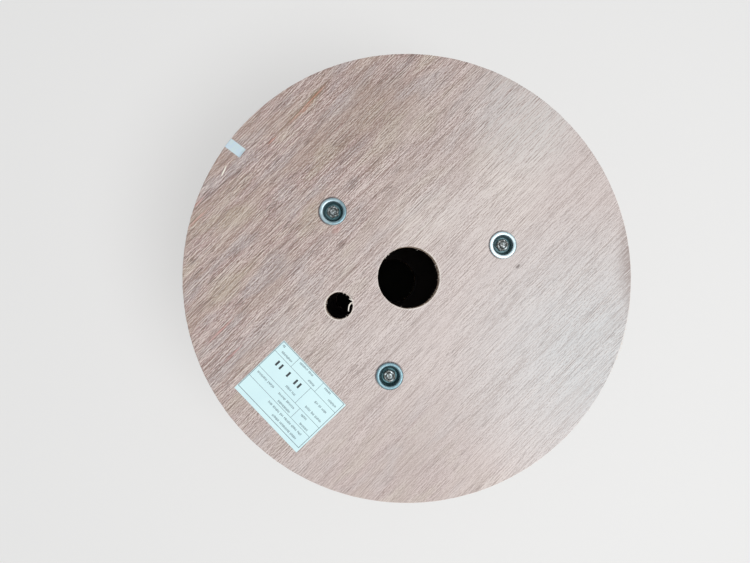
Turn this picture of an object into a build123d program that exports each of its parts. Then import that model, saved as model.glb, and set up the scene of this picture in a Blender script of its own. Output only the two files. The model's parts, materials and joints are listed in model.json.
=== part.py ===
"""Wooden cable drum: two plywood flanges on a barrel of wooden staves.

Three threaded tie rods pull the flanges together, each with a nut and a cup washer at both
ends. The drum stands on its end: its axis is +Z, and the plane that it stands on is z = 0.
All sizes are in millimetres.
"""

import os
from math import cos, pi, radians, sin, tan

from build123d import *

# Flanges
flange_diameter = 400.0
flange_thickness = 12.0
drum_width = 250.0
edge_break = 0.6

# Holes through both flanges
bore_diameter = 55.0
drive_hole_diameter = 24.0
drive_hole_web = 27.0
drive_hole_angle = 202.0

# Barrel of flat staves, whose ends stand in a ring groove in each flange
barrel_diameter = 210.0
stave_count = 24
stave_thickness = 9.0
stave_gap = 0.3
stave_arris = 0.8
groove_depth = 3.0
groove_clearance = 0.3

# Tie rods and nuts
rod_count = 3
rod_diameter = 6.0
rod_hole_clearance = 0.5
rod_inside_barrel = 7.0
rod_first_angle = 19.0
rod_past_nut = 1.0
rod_below_lip = 0.2
rod_end_chamfer = 0.6
nut_across_flats = 10.0
nut_height = 5.0
nut_bore_clearance = 0.05
nut_chamfer_angle = 30.0
nut_turn = 12.0

# Cup washers, let in flush below and standing slightly proud above
washer_sheet = 0.8
lip_width = 3.0
lip_height = 0.9
lip_edge_drop = 0.6
lip_proud = 0.5
lip_clearance = 0.3
cup_mouth_diameter = 18.0
cup_floor_diameter = 15.0
cup_clearance = 0.2

# Paper label on the upper flange
label_length = 79.0
label_width = 60.0
label_thickness = 0.15
label_inset = 52.1
label_angle = 225.0
label_turn = -46.4

# Strip of tape folded over the rim of the upper flange
tape_width = 9.0
tape_on_face = 16.5
tape_on_rim = 10.5
tape_thickness = 0.15
tape_angle = 143.3

# Radii and slopes that follow from the sizes above
flange_radius = flange_diameter / 2
barrel_radius = barrel_diameter / 2
barrel_inner_radius = barrel_radius - stave_thickness
stave_slope = tan(pi / stave_count)
barrel_corner_radius = barrel_radius / cos(pi / stave_count)
rod_circle_radius = barrel_inner_radius - rod_inside_barrel
rod_hole_radius = rod_diameter / 2 + rod_hole_clearance
drive_hole_distance = bore_diameter / 2 + drive_hole_web + drive_hole_diameter / 2
cup_mouth_radius = cup_mouth_diameter / 2
cup_floor_radius = cup_floor_diameter / 2
cup_outer_radius = cup_mouth_radius + washer_sheet
cup_depth = rod_below_lip + rod_past_nut + nut_height
cup_seat_depth = cup_depth + washer_sheet
lip_radius = cup_mouth_radius + lip_width
stave_length = drum_width - 2 * (flange_thickness - groove_depth)


def polar(distance, angle, height):
    """Point at a distance from the drum's axis, at an angle from +X and a height."""
    return (distance * cos(radians(angle)), distance * sin(radians(angle)), height)


def face_plane(end, distance=0.0, angle=0.0):
    """Plane on the outer face of the lower or upper flange, with its normal pointing away."""
    if end == "lower":
        return Plane(polar(distance, angle, 0), x_dir=(1, 0, 0), z_dir=(0, 0, -1))
    return Plane(polar(distance, angle, drum_width), x_dir=(1, 0, 0), z_dir=(0, 0, 1))


def lip_plane(end, index):
    """Plane on top of a cup washer's lip, centred on one tie rod. Depths are measured from it."""
    face = face_plane(end, rod_circle_radius, rod_first_angle + index * 360.0 / rod_count)
    if end == "lower":
        return face
    return face.offset(lip_proud)


def section_of(plane):
    """Upright section plane: its Y is the given plane's normal, and its X is that plane's X."""
    return Plane(plane.origin, x_dir=plane.x_dir, z_dir=plane.x_dir.cross(plane.z_dir))


def make_flange(end):
    """Plywood disc with a bore, a drive hole, stepped rod holes and a groove for the staves."""
    face = face_plane(end)
    rod_places = [lip_plane(end, index) for index in range(rod_count)]
    with BuildPart() as flange:
        with BuildSketch(face):
            Circle(flange_radius)
        extrude(amount=-flange_thickness)
        chamfer(flange.edges().filter_by(GeomType.CIRCLE), edge_break)
        with Locations(face):
            Hole(bore_diameter / 2, flange_thickness)
        with Locations(face_plane(end, drive_hole_distance, drive_hole_angle)):
            Hole(drive_hole_diameter / 2, flange_thickness)
        with Locations(*rod_places):
            Hole(lip_radius + lip_clearance, lip_height)
            CounterBoreHole(
                rod_hole_radius,
                cup_outer_radius + cup_clearance,
                cup_seat_depth,
                flange_thickness + lip_proud,
            )
        with BuildSketch(face.offset(-flange_thickness)):
            Circle(barrel_corner_radius + groove_clearance)
            Circle(barrel_inner_radius - groove_clearance, mode=Mode.SUBTRACT)
        extrude(amount=groove_depth, mode=Mode.SUBTRACT)
    return flange


def make_stave(index):
    """Flat stave with mitred sides, which stands on the floors of both grooves."""
    outer_half = barrel_radius * stave_slope - stave_gap / 2
    inner_half = barrel_inner_radius * stave_slope - stave_gap / 2
    foot = Plane((0, 0, flange_thickness - groove_depth))
    with BuildPart() as stave:
        with BuildSketch(foot.rotated((0, 0, index * 360.0 / stave_count))) as profile:
            with BuildLine():
                Polyline(
                    (barrel_inner_radius, -inner_half),
                    (barrel_radius, -outer_half),
                    (barrel_radius, outer_half),
                    (barrel_inner_radius, inner_half),
                    close=True,
                )
            make_face()
            chamfer(profile.vertices().group_by(Axis.X)[-1], stave_arris)
        extrude(amount=stave_length)
    return stave


def make_rod(index):
    """Threaded tie rod, drawn at its outside diameter, with both its ends chamfered."""
    lower_end = lip_plane("lower", index).offset(-rod_below_lip)
    upper_end = lip_plane("upper", index).offset(-rod_below_lip)
    with BuildPart() as rod:
        with BuildSketch(upper_end):
            Circle(rod_diameter / 2)
        extrude(amount=lower_end.origin.Z - upper_end.origin.Z)
        chamfer(rod.edges().filter_by(GeomType.CIRCLE), rod_end_chamfer)
    return rod


def make_cup_washer(end, index):
    """Dished washer: a crowned lip let into the flange, and a tapered cup down in the wood."""
    top = lip_plane(end, index)
    with BuildPart() as washer:
        with BuildSketch(section_of(top)):
            with BuildLine():
                Polyline(
                    (cup_mouth_radius, -lip_edge_drop),
                    (cup_floor_radius, -cup_depth),
                    (rod_hole_radius, -cup_depth),
                    (rod_hole_radius, -cup_seat_depth),
                    (cup_floor_radius + washer_sheet, -cup_seat_depth),
                    (cup_outer_radius, -lip_height),
                    (lip_radius, -lip_height),
                    (lip_radius, -lip_edge_drop),
                    (lip_radius - lip_width / 3, 0),
                    (cup_mouth_radius + lip_width / 3, 0),
                    close=True,
                )
            make_face()
        revolve(axis=Axis(top.origin, top.z_dir))
    return washer


def make_nut(end, index):
    """Hexagon nut on the floor of its cup, with the corners of its outer face chamfered."""
    foot = lip_plane(end, index).offset(-cup_depth).rotated((0, 0, (index + 1) * nut_turn))
    corner_radius = nut_across_flats / 2 / cos(pi / 6)
    corner_drop = (corner_radius - nut_across_flats / 2) * tan(radians(nut_chamfer_angle))
    with BuildPart() as nut:
        with BuildSketch(foot):
            RegularPolygon(corner_radius, 6)
            Circle(rod_diameter / 2 + nut_bore_clearance, mode=Mode.SUBTRACT)
        extrude(amount=nut_height)
        with BuildSketch(section_of(foot)):
            with BuildLine():
                Polyline(
                    (0, 0),
                    (corner_radius, 0),
                    (corner_radius, nut_height - corner_drop),
                    (nut_across_flats / 2, nut_height),
                    (0, nut_height),
                    close=True,
                )
            make_face()
        revolve(axis=Axis(foot.origin, foot.z_dir), mode=Mode.INTERSECT)
    return nut


def make_label():
    """Paper label, flat on the upper flange."""
    face = face_plane("upper", flange_radius - label_inset, label_angle)
    with BuildPart() as label:
        with BuildSketch(face.rotated((0, 0, label_turn))):
            Rectangle(label_length, label_width)
        extrude(amount=label_thickness)
    return label


def make_tape():
    """Strip of tape that lies on the upper flange and turns down over its rim."""
    tape_arc = 360.0 * tape_width / (pi * flange_diameter)
    start = face_plane("upper").rotated((0, 0, tape_angle - tape_arc / 2))
    inner_end = flange_radius - tape_on_face
    shoulder = flange_radius - edge_break
    outside = flange_radius + tape_thickness
    with BuildPart() as tape:
        with BuildSketch(section_of(start)):
            with BuildLine():
                Polyline(
                    (inner_end, 0),
                    (shoulder, 0),
                    (flange_radius, -edge_break),
                    (flange_radius, -tape_on_rim),
                    (outside, -tape_on_rim),
                    (outside, -edge_break),
                    (shoulder, tape_thickness),
                    (inner_end, tape_thickness),
                    close=True,
                )
            make_face()
        revolve(axis=Axis.Z, revolution_arc=tape_arc)
    return tape


def save(piece, name):
    """Label a finished piece and write it to a file of the same name."""
    piece.part.label = name
    export_step(piece.part, f"parts/{name}.step")


os.makedirs("parts", exist_ok=True)

for end_name in ("lower", "upper"):
    save(make_flange(end_name), f"flange_{end_name}")
    for rod_index in range(rod_count):
        save(make_cup_washer(end_name, rod_index), f"cup_washer_{end_name}_{rod_index + 1}")
        save(make_nut(end_name, rod_index), f"nut_{end_name}_{rod_index + 1}")

for stave_index in range(stave_count):
    save(make_stave(stave_index), f"stave_{stave_index + 1:02d}")

for rod_index in range(rod_count):
    save(make_rod(rod_index), f"tie_rod_{rod_index + 1}")

save(make_label(), "label")
save(make_tape(), "edge_tape")
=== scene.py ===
"""Looks of a wooden cable drum that stands on its end.

The drum has two plywood flanges, a barrel of wooden staves, and three threaded tie rods whose
nuts lie in zinc cup washers. A paper label and a strip of tape are stuck to the upper flange.
Lengths are in metres, apart from the places of marks and splinters, which are in millimetres.
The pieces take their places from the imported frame.
"""

import json
import logging
import math
import random
from collections.abc import Iterator
from contextlib import contextmanager
from dataclasses import dataclass, field
from enum import Enum

import bpy
from mathutils import Matrix, Vector

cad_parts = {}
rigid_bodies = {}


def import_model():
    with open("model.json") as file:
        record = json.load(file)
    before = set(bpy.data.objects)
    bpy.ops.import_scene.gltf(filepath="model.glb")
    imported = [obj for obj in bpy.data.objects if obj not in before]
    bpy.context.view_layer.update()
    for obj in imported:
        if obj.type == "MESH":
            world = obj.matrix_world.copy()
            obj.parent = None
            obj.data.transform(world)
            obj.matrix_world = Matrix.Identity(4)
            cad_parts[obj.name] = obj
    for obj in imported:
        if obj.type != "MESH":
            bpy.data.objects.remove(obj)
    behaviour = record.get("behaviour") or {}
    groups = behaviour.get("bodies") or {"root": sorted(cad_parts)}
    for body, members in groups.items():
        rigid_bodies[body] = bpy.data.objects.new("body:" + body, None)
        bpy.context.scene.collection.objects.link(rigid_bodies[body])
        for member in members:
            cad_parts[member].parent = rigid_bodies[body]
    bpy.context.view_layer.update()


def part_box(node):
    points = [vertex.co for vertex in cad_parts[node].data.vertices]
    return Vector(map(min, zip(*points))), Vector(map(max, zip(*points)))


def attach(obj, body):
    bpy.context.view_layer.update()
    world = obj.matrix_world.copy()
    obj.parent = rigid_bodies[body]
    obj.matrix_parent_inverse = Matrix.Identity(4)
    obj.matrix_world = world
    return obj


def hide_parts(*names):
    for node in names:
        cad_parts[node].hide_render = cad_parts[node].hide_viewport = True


LOG = logging.getLogger("cable_drum")
MM = 0.001
BODY = "root"
BLUENESS_AND_REFLECTION = "tint"

RODS = (1, 2, 3)
BORE_RADIUS = 27.5 * MM
DRIVE_RADIUS = 12 * MM
DRIVE_PLACE = (-61.657 * MM, -24.911 * MM)
BARREL_BORE = 96 * MM
PLY_JOINTS = tuple(level * MM for level in (0.8, 2.88, 4.96, 7.04, 9.12, 11.2))

Tone = tuple[float, float, float, float]
Point = tuple[float, float, float]
Flat = tuple[float, float]


def tone(red: int, green: int, blue: int) -> Tone:
    """Turn a display colour into the linear colour that a shader takes.

    Args:
        red: Red from 0 to 255.
        green: Green from 0 to 255.
        blue: Blue from 0 to 255.

    Returns:
        The linear colour with full alpha.
    """
    linear = []
    for part in (red, green, blue):
        share = part / 255
        linear.append(share / 12.92 if share <= 0.04045 else ((share + 0.055) / 1.055) ** 2.4)
    return (linear[0], linear[1], linear[2], 1.0)


def stance(node: str) -> tuple[float, float, float, float]:
    """Read where a node of the frame stands.

    Args:
        node: The node's name.

    Returns:
        X and Y of its middle, and the heights of its foot and its top.
    """
    low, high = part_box(node)
    return ((low.x + high.x) / 2, (low.y + high.y) / 2, low.z, high.z)


class End(Enum):
    """The two ends of the drum, named as in the frame's nodes."""

    LOWER = "lower"
    UPPER = "upper"

    @property
    def outward(self) -> float:
        """Direction along Z that points away from the drum at this end."""
        return 1.0 if self is End.UPPER else -1.0


class Ply(Enum):
    """Which way the grain of one ply runs, seen against the face veneer."""

    ALONG = 0.0
    ACROSS = 1.0


# Shader expressions


class Value:
    """An output socket of a shader node, on which arithmetic adds Math nodes."""

    def __init__(self, graph: "Graph", socket: bpy.types.NodeSocket) -> None:
        """Keep the graph and the socket that this value stands for."""
        self.graph = graph
        self.socket = socket

    def _math(self, operation: str, first: "Value | float", second: "Value | float" = 0.0) -> "Value":
        """Add one Math node.

        Args:
            operation: The node's operation.
            first: Its first operand.
            second: Its second operand.

        Returns:
            The node's result.
        """
        return self.graph.node("ShaderNodeMath", {"operation": operation}, {0: first, 1: second})

    def __add__(self, other: "Value | float") -> "Value":
        """Return this value plus another."""
        return self._math("ADD", self, other)

    def __radd__(self, other: float) -> "Value":
        """Return a number plus this value."""
        return self._math("ADD", other, self)

    def __sub__(self, other: "Value | float") -> "Value":
        """Return this value less another."""
        return self._math("SUBTRACT", self, other)

    def __rsub__(self, other: float) -> "Value":
        """Return a number less this value."""
        return self._math("SUBTRACT", other, self)

    def __mul__(self, other: "Value | float") -> "Value":
        """Return this value times another."""
        return self._math("MULTIPLY", self, other)

    def __rmul__(self, other: float) -> "Value":
        """Return a number times this value."""
        return self._math("MULTIPLY", other, self)

    def __truediv__(self, other: "Value | float") -> "Value":
        """Return this value divided by another."""
        return self._math("DIVIDE", self, other)

    def __rtruediv__(self, other: float) -> "Value":
        """Return a number divided by this value."""
        return self._math("DIVIDE", other, self)

    def __abs__(self) -> "Value":
        """Return this value without its sign."""
        return self._math("ABSOLUTE", self)

    def floor(self) -> "Value":
        """Return the whole number below this value."""
        return self._math("FLOOR", self)

    def least(self, other: "Value | float") -> "Value":
        """Return the smaller of this value and another."""
        return self._math("MINIMUM", self, other)

    def most(self, other: "Value | float") -> "Value":
        """Return the larger of this value and another."""
        return self._math("MAXIMUM", self, other)

    def rise(self, start: float, end: float) -> "Value":
        """Rise smoothly from 0 to 1.

        Args:
            start: Where this value gives 0.
            end: Where it gives 1. It may lie below the start.

        Returns:
            The share, held at 0 and 1 outside the two.
        """
        settings = {"interpolation_type": "SMOOTHSTEP"}
        inputs = {"Value": self, "From Min": start, "From Max": end, "To Min": 0.0, "To Max": 1.0}
        return self.graph.node("ShaderNodeMapRange", settings, inputs)

    def spread(self, start: float, end: float, low: float, high: float) -> "Value":
        """Map start to end onto low to high in a straight line, held at both ends."""
        inputs = {"Value": self, "From Min": start, "From Max": end, "To Min": low, "To Max": high}
        return self.graph.node("ShaderNodeMapRange", {}, inputs)


class Graph:
    """Node tree of one material, or of the world, written as expressions."""

    def __init__(self, name: str, world: bpy.types.World | None = None) -> None:
        """Start an empty tree.

        Args:
            name: The new material's name.
            world: The world whose tree this is, in place of a new material's.
        """
        self.owner = world or bpy.data.materials.new(name)
        self.owner.use_nodes = True
        self.tree = self.owner.node_tree
        self.tree.nodes.clear()

    def node(
        self, kind: str, settings: dict | None = None, inputs: dict | None = None, output: int | str = 0
    ) -> Value:
        """Add a node.

        Args:
            kind: The node's type.
            settings: Properties to set first. The key stops fills a colour ramp.
            inputs: Numbers, colours or values for its input sockets, by name or index.
            output: The output socket to return.

        Returns:
            The chosen output, or None for a node without outputs.
        """
        made = self.tree.nodes.new(kind)
        for key, setting in (settings or {}).items():
            if key == "stops":
                self._fill_ramp(made.color_ramp, setting)
            else:
                setattr(made, key, setting)
        for key, given in (inputs or {}).items():
            if isinstance(given, Value):
                self.tree.links.new(given.socket, made.inputs[key])
            else:
                made.inputs[key].default_value = given
        return Value(self, made.outputs[output]) if len(made.outputs) else None

    @staticmethod
    def _fill_ramp(ramp: bpy.types.ColorRamp, stops: list[tuple[float, Tone]]) -> None:
        """Give a colour ramp its stops.

        Args:
            ramp: The ramp.
            stops: Positions from 0 to 1 with their colours.
        """
        while len(ramp.elements) < len(stops):
            ramp.elements.new(1.0)
        for element, (position, colour) in zip(ramp.elements, stops):
            element.position = position
            element.color = colour

    def place(self) -> Value:
        """Return the object's own coordinates in metres."""
        return self.node("ShaderNodeTexCoord", output="Object")

    def facing(self) -> Value:
        """Return the surface's normal in the object's own axes."""
        return self.node("ShaderNodeTexCoord", output="Normal")

    def seen(self) -> Value:
        """Tell which rays see the backdrop.

        Returns:
            1 for rays from the camera, and for those that a reflection or glass sends on.
        """
        camera = self.node("ShaderNodeLightPath", output="Is Camera Ray")
        outputs = camera.socket.node.outputs
        glossy = Value(self, outputs["Is Glossy Ray"])
        return camera.most(glossy).most(Value(self, outputs["Is Transmission Ray"]))

    def split(self, vector: Value) -> tuple[Value, Value, Value]:
        """Take a vector apart.

        Args:
            vector: The vector.

        Returns:
            Its three numbers.
        """
        first = self.node("ShaderNodeSeparateXYZ", inputs={0: vector})
        outputs = first.socket.node.outputs
        return (first, Value(self, outputs[1]), Value(self, outputs[2]))

    def join(self, x: Value | float, y: Value | float, z: Value | float) -> Value:
        """Return a vector of three numbers."""
        return self.node("ShaderNodeCombineXYZ", inputs={0: x, 1: y, 2: z})

    def turned(self, vector: Value, degrees: float) -> Value:
        """Return a vector turned about Z."""
        turn = (0.0, 0.0, math.radians(degrees))
        return self.node("ShaderNodeMapping", inputs={0: vector, "Rotation": turn})

    def stretched(self, vector: Value, scale: Point) -> Value:
        """Return a vector with each of its numbers scaled."""
        return self.node("ShaderNodeVectorMath", {"operation": "MULTIPLY"}, {0: vector, 1: scale})

    def distance(self, vector: Value, centre: Point) -> Value:
        """Return the distance from a fixed point."""
        inputs = {0: vector, 1: centre}
        return self.node("ShaderNodeVectorMath", {"operation": "DISTANCE"}, inputs, "Value")

    def dot(self, vector: Value, axis: Point) -> Value:
        """Return the dot product with a fixed axis."""
        return self.node("ShaderNodeVectorMath", {"operation": "DOT_PRODUCT"}, {0: vector, 1: axis}, "Value")

    def noise(self, vector: Value, grain: Point | float, detail: float = 2.0) -> Value:
        """Make smooth noise.

        Args:
            vector: The places that it is read at.
            grain: How many bumps it has to the metre, each way or all ways.
            detail: How many finer layers it has.

        Returns:
            The noise, around 0.5.
        """
        scale = grain if isinstance(grain, tuple) else (grain, grain, grain)
        inputs = {"Vector": self.stretched(vector, scale), "Scale": 1.0, "Detail": detail}
        return self.node("ShaderNodeTexNoise", {}, inputs)

    def chance(self, number: Value) -> Value:
        """Return a random number from 0 to 1 for each whole number."""
        return self.node("ShaderNodeTexWhiteNoise", {"noise_dimensions": "1D"}, {"W": number})

    def lookup(self, number: Value, stops: list[Flat], jump: bool = False) -> Value:
        """Look a number up on a ramp of greys.

        Args:
            number: The number, from 0 to 1.
            stops: Positions with the shares that they give.
            jump: Whether the share jumps at each stop.

        Returns:
            The share.
        """
        greys = [(position, (share, share, share, 1.0)) for position, share in stops]
        made = self.node("ShaderNodeValToRGB", {"stops": greys}, {0: number})
        if jump:
            made.socket.node.color_ramp.interpolation = "CONSTANT"
        return self.split(made)[0]

    def mix(self, factor: Value | float, first: Value | Tone, second: Value | Tone) -> Value:
        """Mix two colours.

        Args:
            factor: The share of the second colour.
            first: The first colour.
            second: The second colour.

        Returns:
            The mixed colour.
        """
        return self.node("ShaderNodeMix", {"data_type": "RGBA"}, {0: factor, 6: first, 7: second}, 2)

    def relief(self, height: Value, depth: float) -> Value:
        """Return the normal of a surface with a small relief.

        Args:
            height: The relief, from 0 to 1.
            depth: Its full depth in metres.

        Returns:
            The normal.
        """
        return self.node("ShaderNodeBump", {}, {"Strength": 1.0, "Distance": depth, "Height": height})

    def finish(self, **sockets: Value | Tone | float) -> bpy.types.Material:
        """Close the material with a Principled shader.

        Args:
            sockets: Values for its sockets, with underscores for the spaces in their names.

        Returns:
            The material.
        """
        inputs = {name.replace("_", " "): given for name, given in sockets.items()}
        shader = self.node("ShaderNodeBsdfPrincipled", {}, inputs)
        self.node("ShaderNodeOutputMaterial", {}, {"Surface": shader})
        return self.owner


# Finishes


@dataclass(frozen=True)
class Mark:
    """A long mark on the veneer, placed in millimetres along and across its own direction. Some marks are
    painted light and shade.
    """

    along: float
    across: float
    half_length: float
    half_width: float
    colour: Tone
    share: float
    direction: float = 45.0


@dataclass(frozen=True)
class Ring:
    """A line on the veneer round a hole or a washer, strongest on one side, which is in degrees."""

    centre: Flat
    radius: float
    width: float
    side: float
    colour: Tone
    share: float


RED = tone(202, 110, 86)
ROSE = tone(196, 136, 128)
OLIVE = tone(128, 106, 76)
SOOT_AND_SHADOW = tone(86, 72, 66)
CREAM = tone(240, 234, 226)
SHADE = tone(138, 120, 114)
LINT = tone(132, 142, 146)
UMBER = tone(140, 120, 106)
ASH = tone(140, 138, 138)
PAINTED_LIGHT = tone(206, 205, 204)
LIP_SHADOW = tone(56, 52, 60)

FACE_MARKS = (
    Mark(62, 174.4, 22, 2.4, OLIVE, 0.3),
    Mark(56.0, 170.2, 22, 1.3, RED, 0.6, direction=47.0),
    Mark(42, 170.0, 11, 1.2, RED, 0.35),
    Mark(27, 171.4, 10, 1.0, RED, 0.35),
    Mark(0, 171.2, 7, 1.1, RED, 0.5),
    Mark(45.4, 171.55, 48, 0.8, OLIVE, 0.95, direction=46.8),
    Mark(56.5, 169.05, 36, 0.7, OLIVE, 0.8, direction=47.2),
    Mark(-15.0, 75.4, 7, 3.8, ROSE, 0.45),
    Mark(-89.3, 177.9, 16, 1.2, ROSE, 0.7),
    Mark(-96.0, 168.0, 20, 1.4, ROSE, 0.5),
    Mark(-150.0, 84.0, 22, 1.2, ROSE, 0.6),
    Mark(-158.0, 62.0, 16, 1.5, ROSE, 0.5),
    Mark(75.9, -61.6, 3.6, 2.2, SOOT_AND_SHADOW, 0.75),
    Mark(72.9, 180.0, 3.4, 0.7, SOOT_AND_SHADOW, 0.7),
    Mark(64.0, 178.5, 4.0, 0.6, SOOT_AND_SHADOW, 0.6),
    Mark(-18.0, -74.0, 5.0, 0.6, SOOT_AND_SHADOW, 0.5),
    Mark(-20.5, -78.5, 3.5, 0.6, SOOT_AND_SHADOW, 0.55),
    Mark(-24.0, -72.5, 3.0, 0.5, SOOT_AND_SHADOW, 0.5),
    Mark(112.0, -28.0, 18, 0.6, CREAM, 0.7),
    Mark(40.0, 22.0, 26, 0.6, CREAM, 0.6),
    Mark(18, -205, 66, 23, SHADE, 0.7, direction=90.0),
    Mark(6.5, 200, 2.2, 2.0, LINT, 0.8, direction=0.0),
    # Painted shadows: beside the loose sliver, beside the chip at the drive hole, and in a notch of the drive
    # hole's rim.
    Mark(15.0, 188.7, 5.2, 0.9, SOOT_AND_SHADOW, 0.6, direction=64.7),
    Mark(17.4, 51.6, 5.0, 1.5, SOOT_AND_SHADOW, 1.0, direction=127.6),
    Mark(-66.0, -3.2, 1.8, 0.9, SOOT_AND_SHADOW, 0.9, direction=29.1),
    # The broad patches below are partly uneven wood colour and partly painted light and shade: the pale ones
    # lighten mostly the upper right, where the lamp lights less, and the dark ones darken the top and the
    # bottom, where shade falls.
    Mark(78, 127, 76, 42, UMBER, 0.24),
    Mark(152, 10, 70, 46, CREAM, 0.26),
    Mark(46, 24, 50, 34, CREAM, 0.30),
    Mark(102, -18, 58, 44, CREAM, 0.2),
    Mark(-94, 33, 56, 34, CREAM, 0.17),
    Mark(180, 32, 70, 70, PAINTED_LIGHT, 0.5),
    Mark(-74, -116, 90, 50, ASH, 0.13),
)

HOLE_RINGS = (
    Ring(DRIVE_PLACE, DRIVE_RADIUS, 1.6 * MM, 170.0, CREAM, 0.75),
    Ring(DRIVE_PLACE, DRIVE_RADIUS, 1.5 * MM, -40.0, CREAM, 0.7),
    Ring((0.0, 0.0), BORE_RADIUS, 1.6 * MM, -25.0, CREAM, 0.7),
    Ring((0.0, 0.0), BORE_RADIUS, 1.2 * MM, 200.0, CREAM, 0.4),
)


@dataclass(frozen=True)
class VeneerFinish:
    """Raw rotary-cut hardwood veneer with fine dark pores, as on the flanges' faces."""

    name: str
    marks: tuple[Mark, ...] = ()
    rings: tuple[Ring, ...] = ()
    highlight_from: float = 198.6 * MM
    shaded_within: float = 0.0
    grain_angle: float = 45.0
    line_pitch: float = 0.6 * MM
    brown: Tone = tone(182, 160, 151)
    rosy: Tone = tone(186, 162, 158)
    tan: Tone = tone(184, 169, 150)
    lilac: Tone = tone(180, 171, 173)
    bleached_and_lit: Tone = tone(210, 199, 196)
    sheen_grey: Tone = tone(206, 207, 208)
    light: Tone = tone(238, 228, 222)
    dusk: Tone = tone(128, 104, 94)
    pore: Tone = tone(84, 64, 56)
    inside_shade: Tone = tone(58, 46, 38)

    def build(self) -> bpy.types.Material:
        """Make the material.

        Returns:
            The veneer material.
        """
        graph = Graph(self.name)
        place = graph.place()
        flat = graph.stretched(place, (1.0, 1.0, 0.0))
        grain = graph.turned(place, -self.grain_angle)
        along, across, height = graph.split(grain)
        wander = graph.noise(grain, (3.0, 7.0, 60.0), detail=0.0) - 0.5
        side = across + wander * (1.5 * MM)
        run = graph.join(along, side, height)
        beside = graph.join(along, side + self.line_pitch, height)

        patches = graph.noise(run, (16.0, 52.0, 60.0), detail=1.0)
        clouds = graph.noise(run, (21.0, 60.0, 97.0), detail=1.0)
        ribbons = graph.noise(run, (6.0, 170.0, 60.0), detail=1.0)
        pores = graph.noise(run, (60.0, 1000.0, 91.0), detail=0.0).rise(0.64, 0.72)
        streaks = graph.noise(run, (15.0, 900.0, 77.0), detail=0.0).rise(0.60, 0.72)
        lines = self._lines(graph, run, beside, (85.0, 1250.0, 133.0))
        long_lines = self._lines(graph, run, beside, (22.0, 1100.0, 61.0))
        ticks = self._lines(graph, run, beside, (450.0, 1250.0, 97.0))
        detail = lines * 0.60 + long_lines * 0.45 + ticks * 0.80
        # Towards the lower right the grain fades and the veneer turns paler and greyer: partly bleached wood,
        # partly painted light and sheen.
        towards_light = graph.dot(place, (0.81, -0.59, 0.0))
        strength = towards_light.spread(-0.10, 0.05, 1.0, 0.45) * patches.spread(0.35, 0.65, 1.15, 0.8)

        base = graph.mix(patches.rise(0.42, 0.60), self.rosy, self.brown)
        base = graph.mix(clouds.rise(0.52, 0.70) * 0.65, base, self.lilac)
        base = graph.mix(clouds.rise(0.48, 0.30) * 0.7, base, self.tan)
        base = graph.mix(self._bleach_and_light(graph, place, towards_light), base, self.bleached_and_lit)
        # Painted sheen: a pale grey patch on the right of the face.
        painted_sheen = graph.distance(flat, (0.17, -0.07, 0.0)).spread(0.03, 0.14, 1.0, 0.0)
        base = graph.mix(painted_sheen, base, self.sheen_grey)
        base = graph.mix(ribbons.rise(0.50, 0.28) * strength * 0.20, base, self.dusk)
        base = graph.mix(ribbons.rise(0.50, 0.72) * strength * 0.22, base, self.light)
        base = graph.mix(detail.spread(-0.02, -0.26, 0.0, 1.0) * strength, base, self.dusk)
        base = graph.mix(detail.spread(0.0, 0.26, 0.0, 0.7) * strength, base, self.light)
        base = graph.mix(streaks * strength * 0.5, base, self.dusk)
        base = graph.mix(pores * strength * 0.5, base, self.pore)
        for mark in self.marks:
            base = self._marked(graph, base, place, mark, lines)
        for ring in self.rings:
            base = self._ringed(graph, base, flat, ring, ticks)
        radius = graph.distance(flat, (0.0, 0.0, 0.0))
        # Painted highlight: a pale line along the rim's edge on the lit lower-right side.
        sawn = radius.rise(self.highlight_from, self.highlight_from + 0.5 * MM)
        sawn = sawn * graph.dot(place, (0.6, -0.8, 0.0)).rise(0.02, 0.14)
        base = graph.mix(sawn * 0.75, base, self.light)
        # Painted shade: the faces inside the barrel turn nearly black.
        if self.shaded_within:
            inside_shade_share = radius.rise(self.shaded_within, self.shaded_within - 1 * MM)
            base = graph.mix(inside_shade_share * 0.96, base, self.inside_shade)
        relief = (1.0 - pores) * 0.5 + detail * 0.5
        rough = lines.spread(-0.2, 0.2, 0.46, 0.58)
        return graph.finish(Base_Color=base, Roughness=rough, Normal=graph.relief(relief, 0.12 * MM))

    @staticmethod
    def _lines(graph: Graph, run: Value, beside: Value, scale: Point) -> Value:
        """Return fine lines around 0: noise, less half the same noise one line further across.

        Args:
            graph: The material's graph.
            run: Places along and across the grain.
            beside: The same places, one line further across.
            scale: How finely the noise varies each way.

        Returns:
            The lines.
        """
        first = graph.noise(run, scale, detail=0.0)
        return first - 0.25 - graph.noise(beside, scale, detail=0.0) * 0.5

    @staticmethod
    def _bleach_and_light(graph: Graph, place: Value, towards_light: Value) -> Value:
        """Return how far the veneer is bleached, with painted light and sheen towards the lower right, held
        back by painted shade near the bottom.

        Args:
            graph: The material's graph.
            place: The object's coordinates.
            towards_light: Distance towards the side that is most bleached and most lit.

        Returns:
            The share of the pale colour, which is bleached wood and painted light together.
        """
        cloud = graph.noise(place, (11.0, 11.0, 60.0), detail=1.0) - 0.5
        shaded = graph.distance(graph.stretched(place, (1.0, 1.0, 0.0)), (-0.02, -0.20, 0.0))
        bleach_and_light = (towards_light + cloud * 0.05).spread(-0.12, 0.02, 0.0, 1.0)
        return (bleach_and_light - shaded.spread(0.04, 0.13, 0.45, 0.0)).most(0.0)

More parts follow.
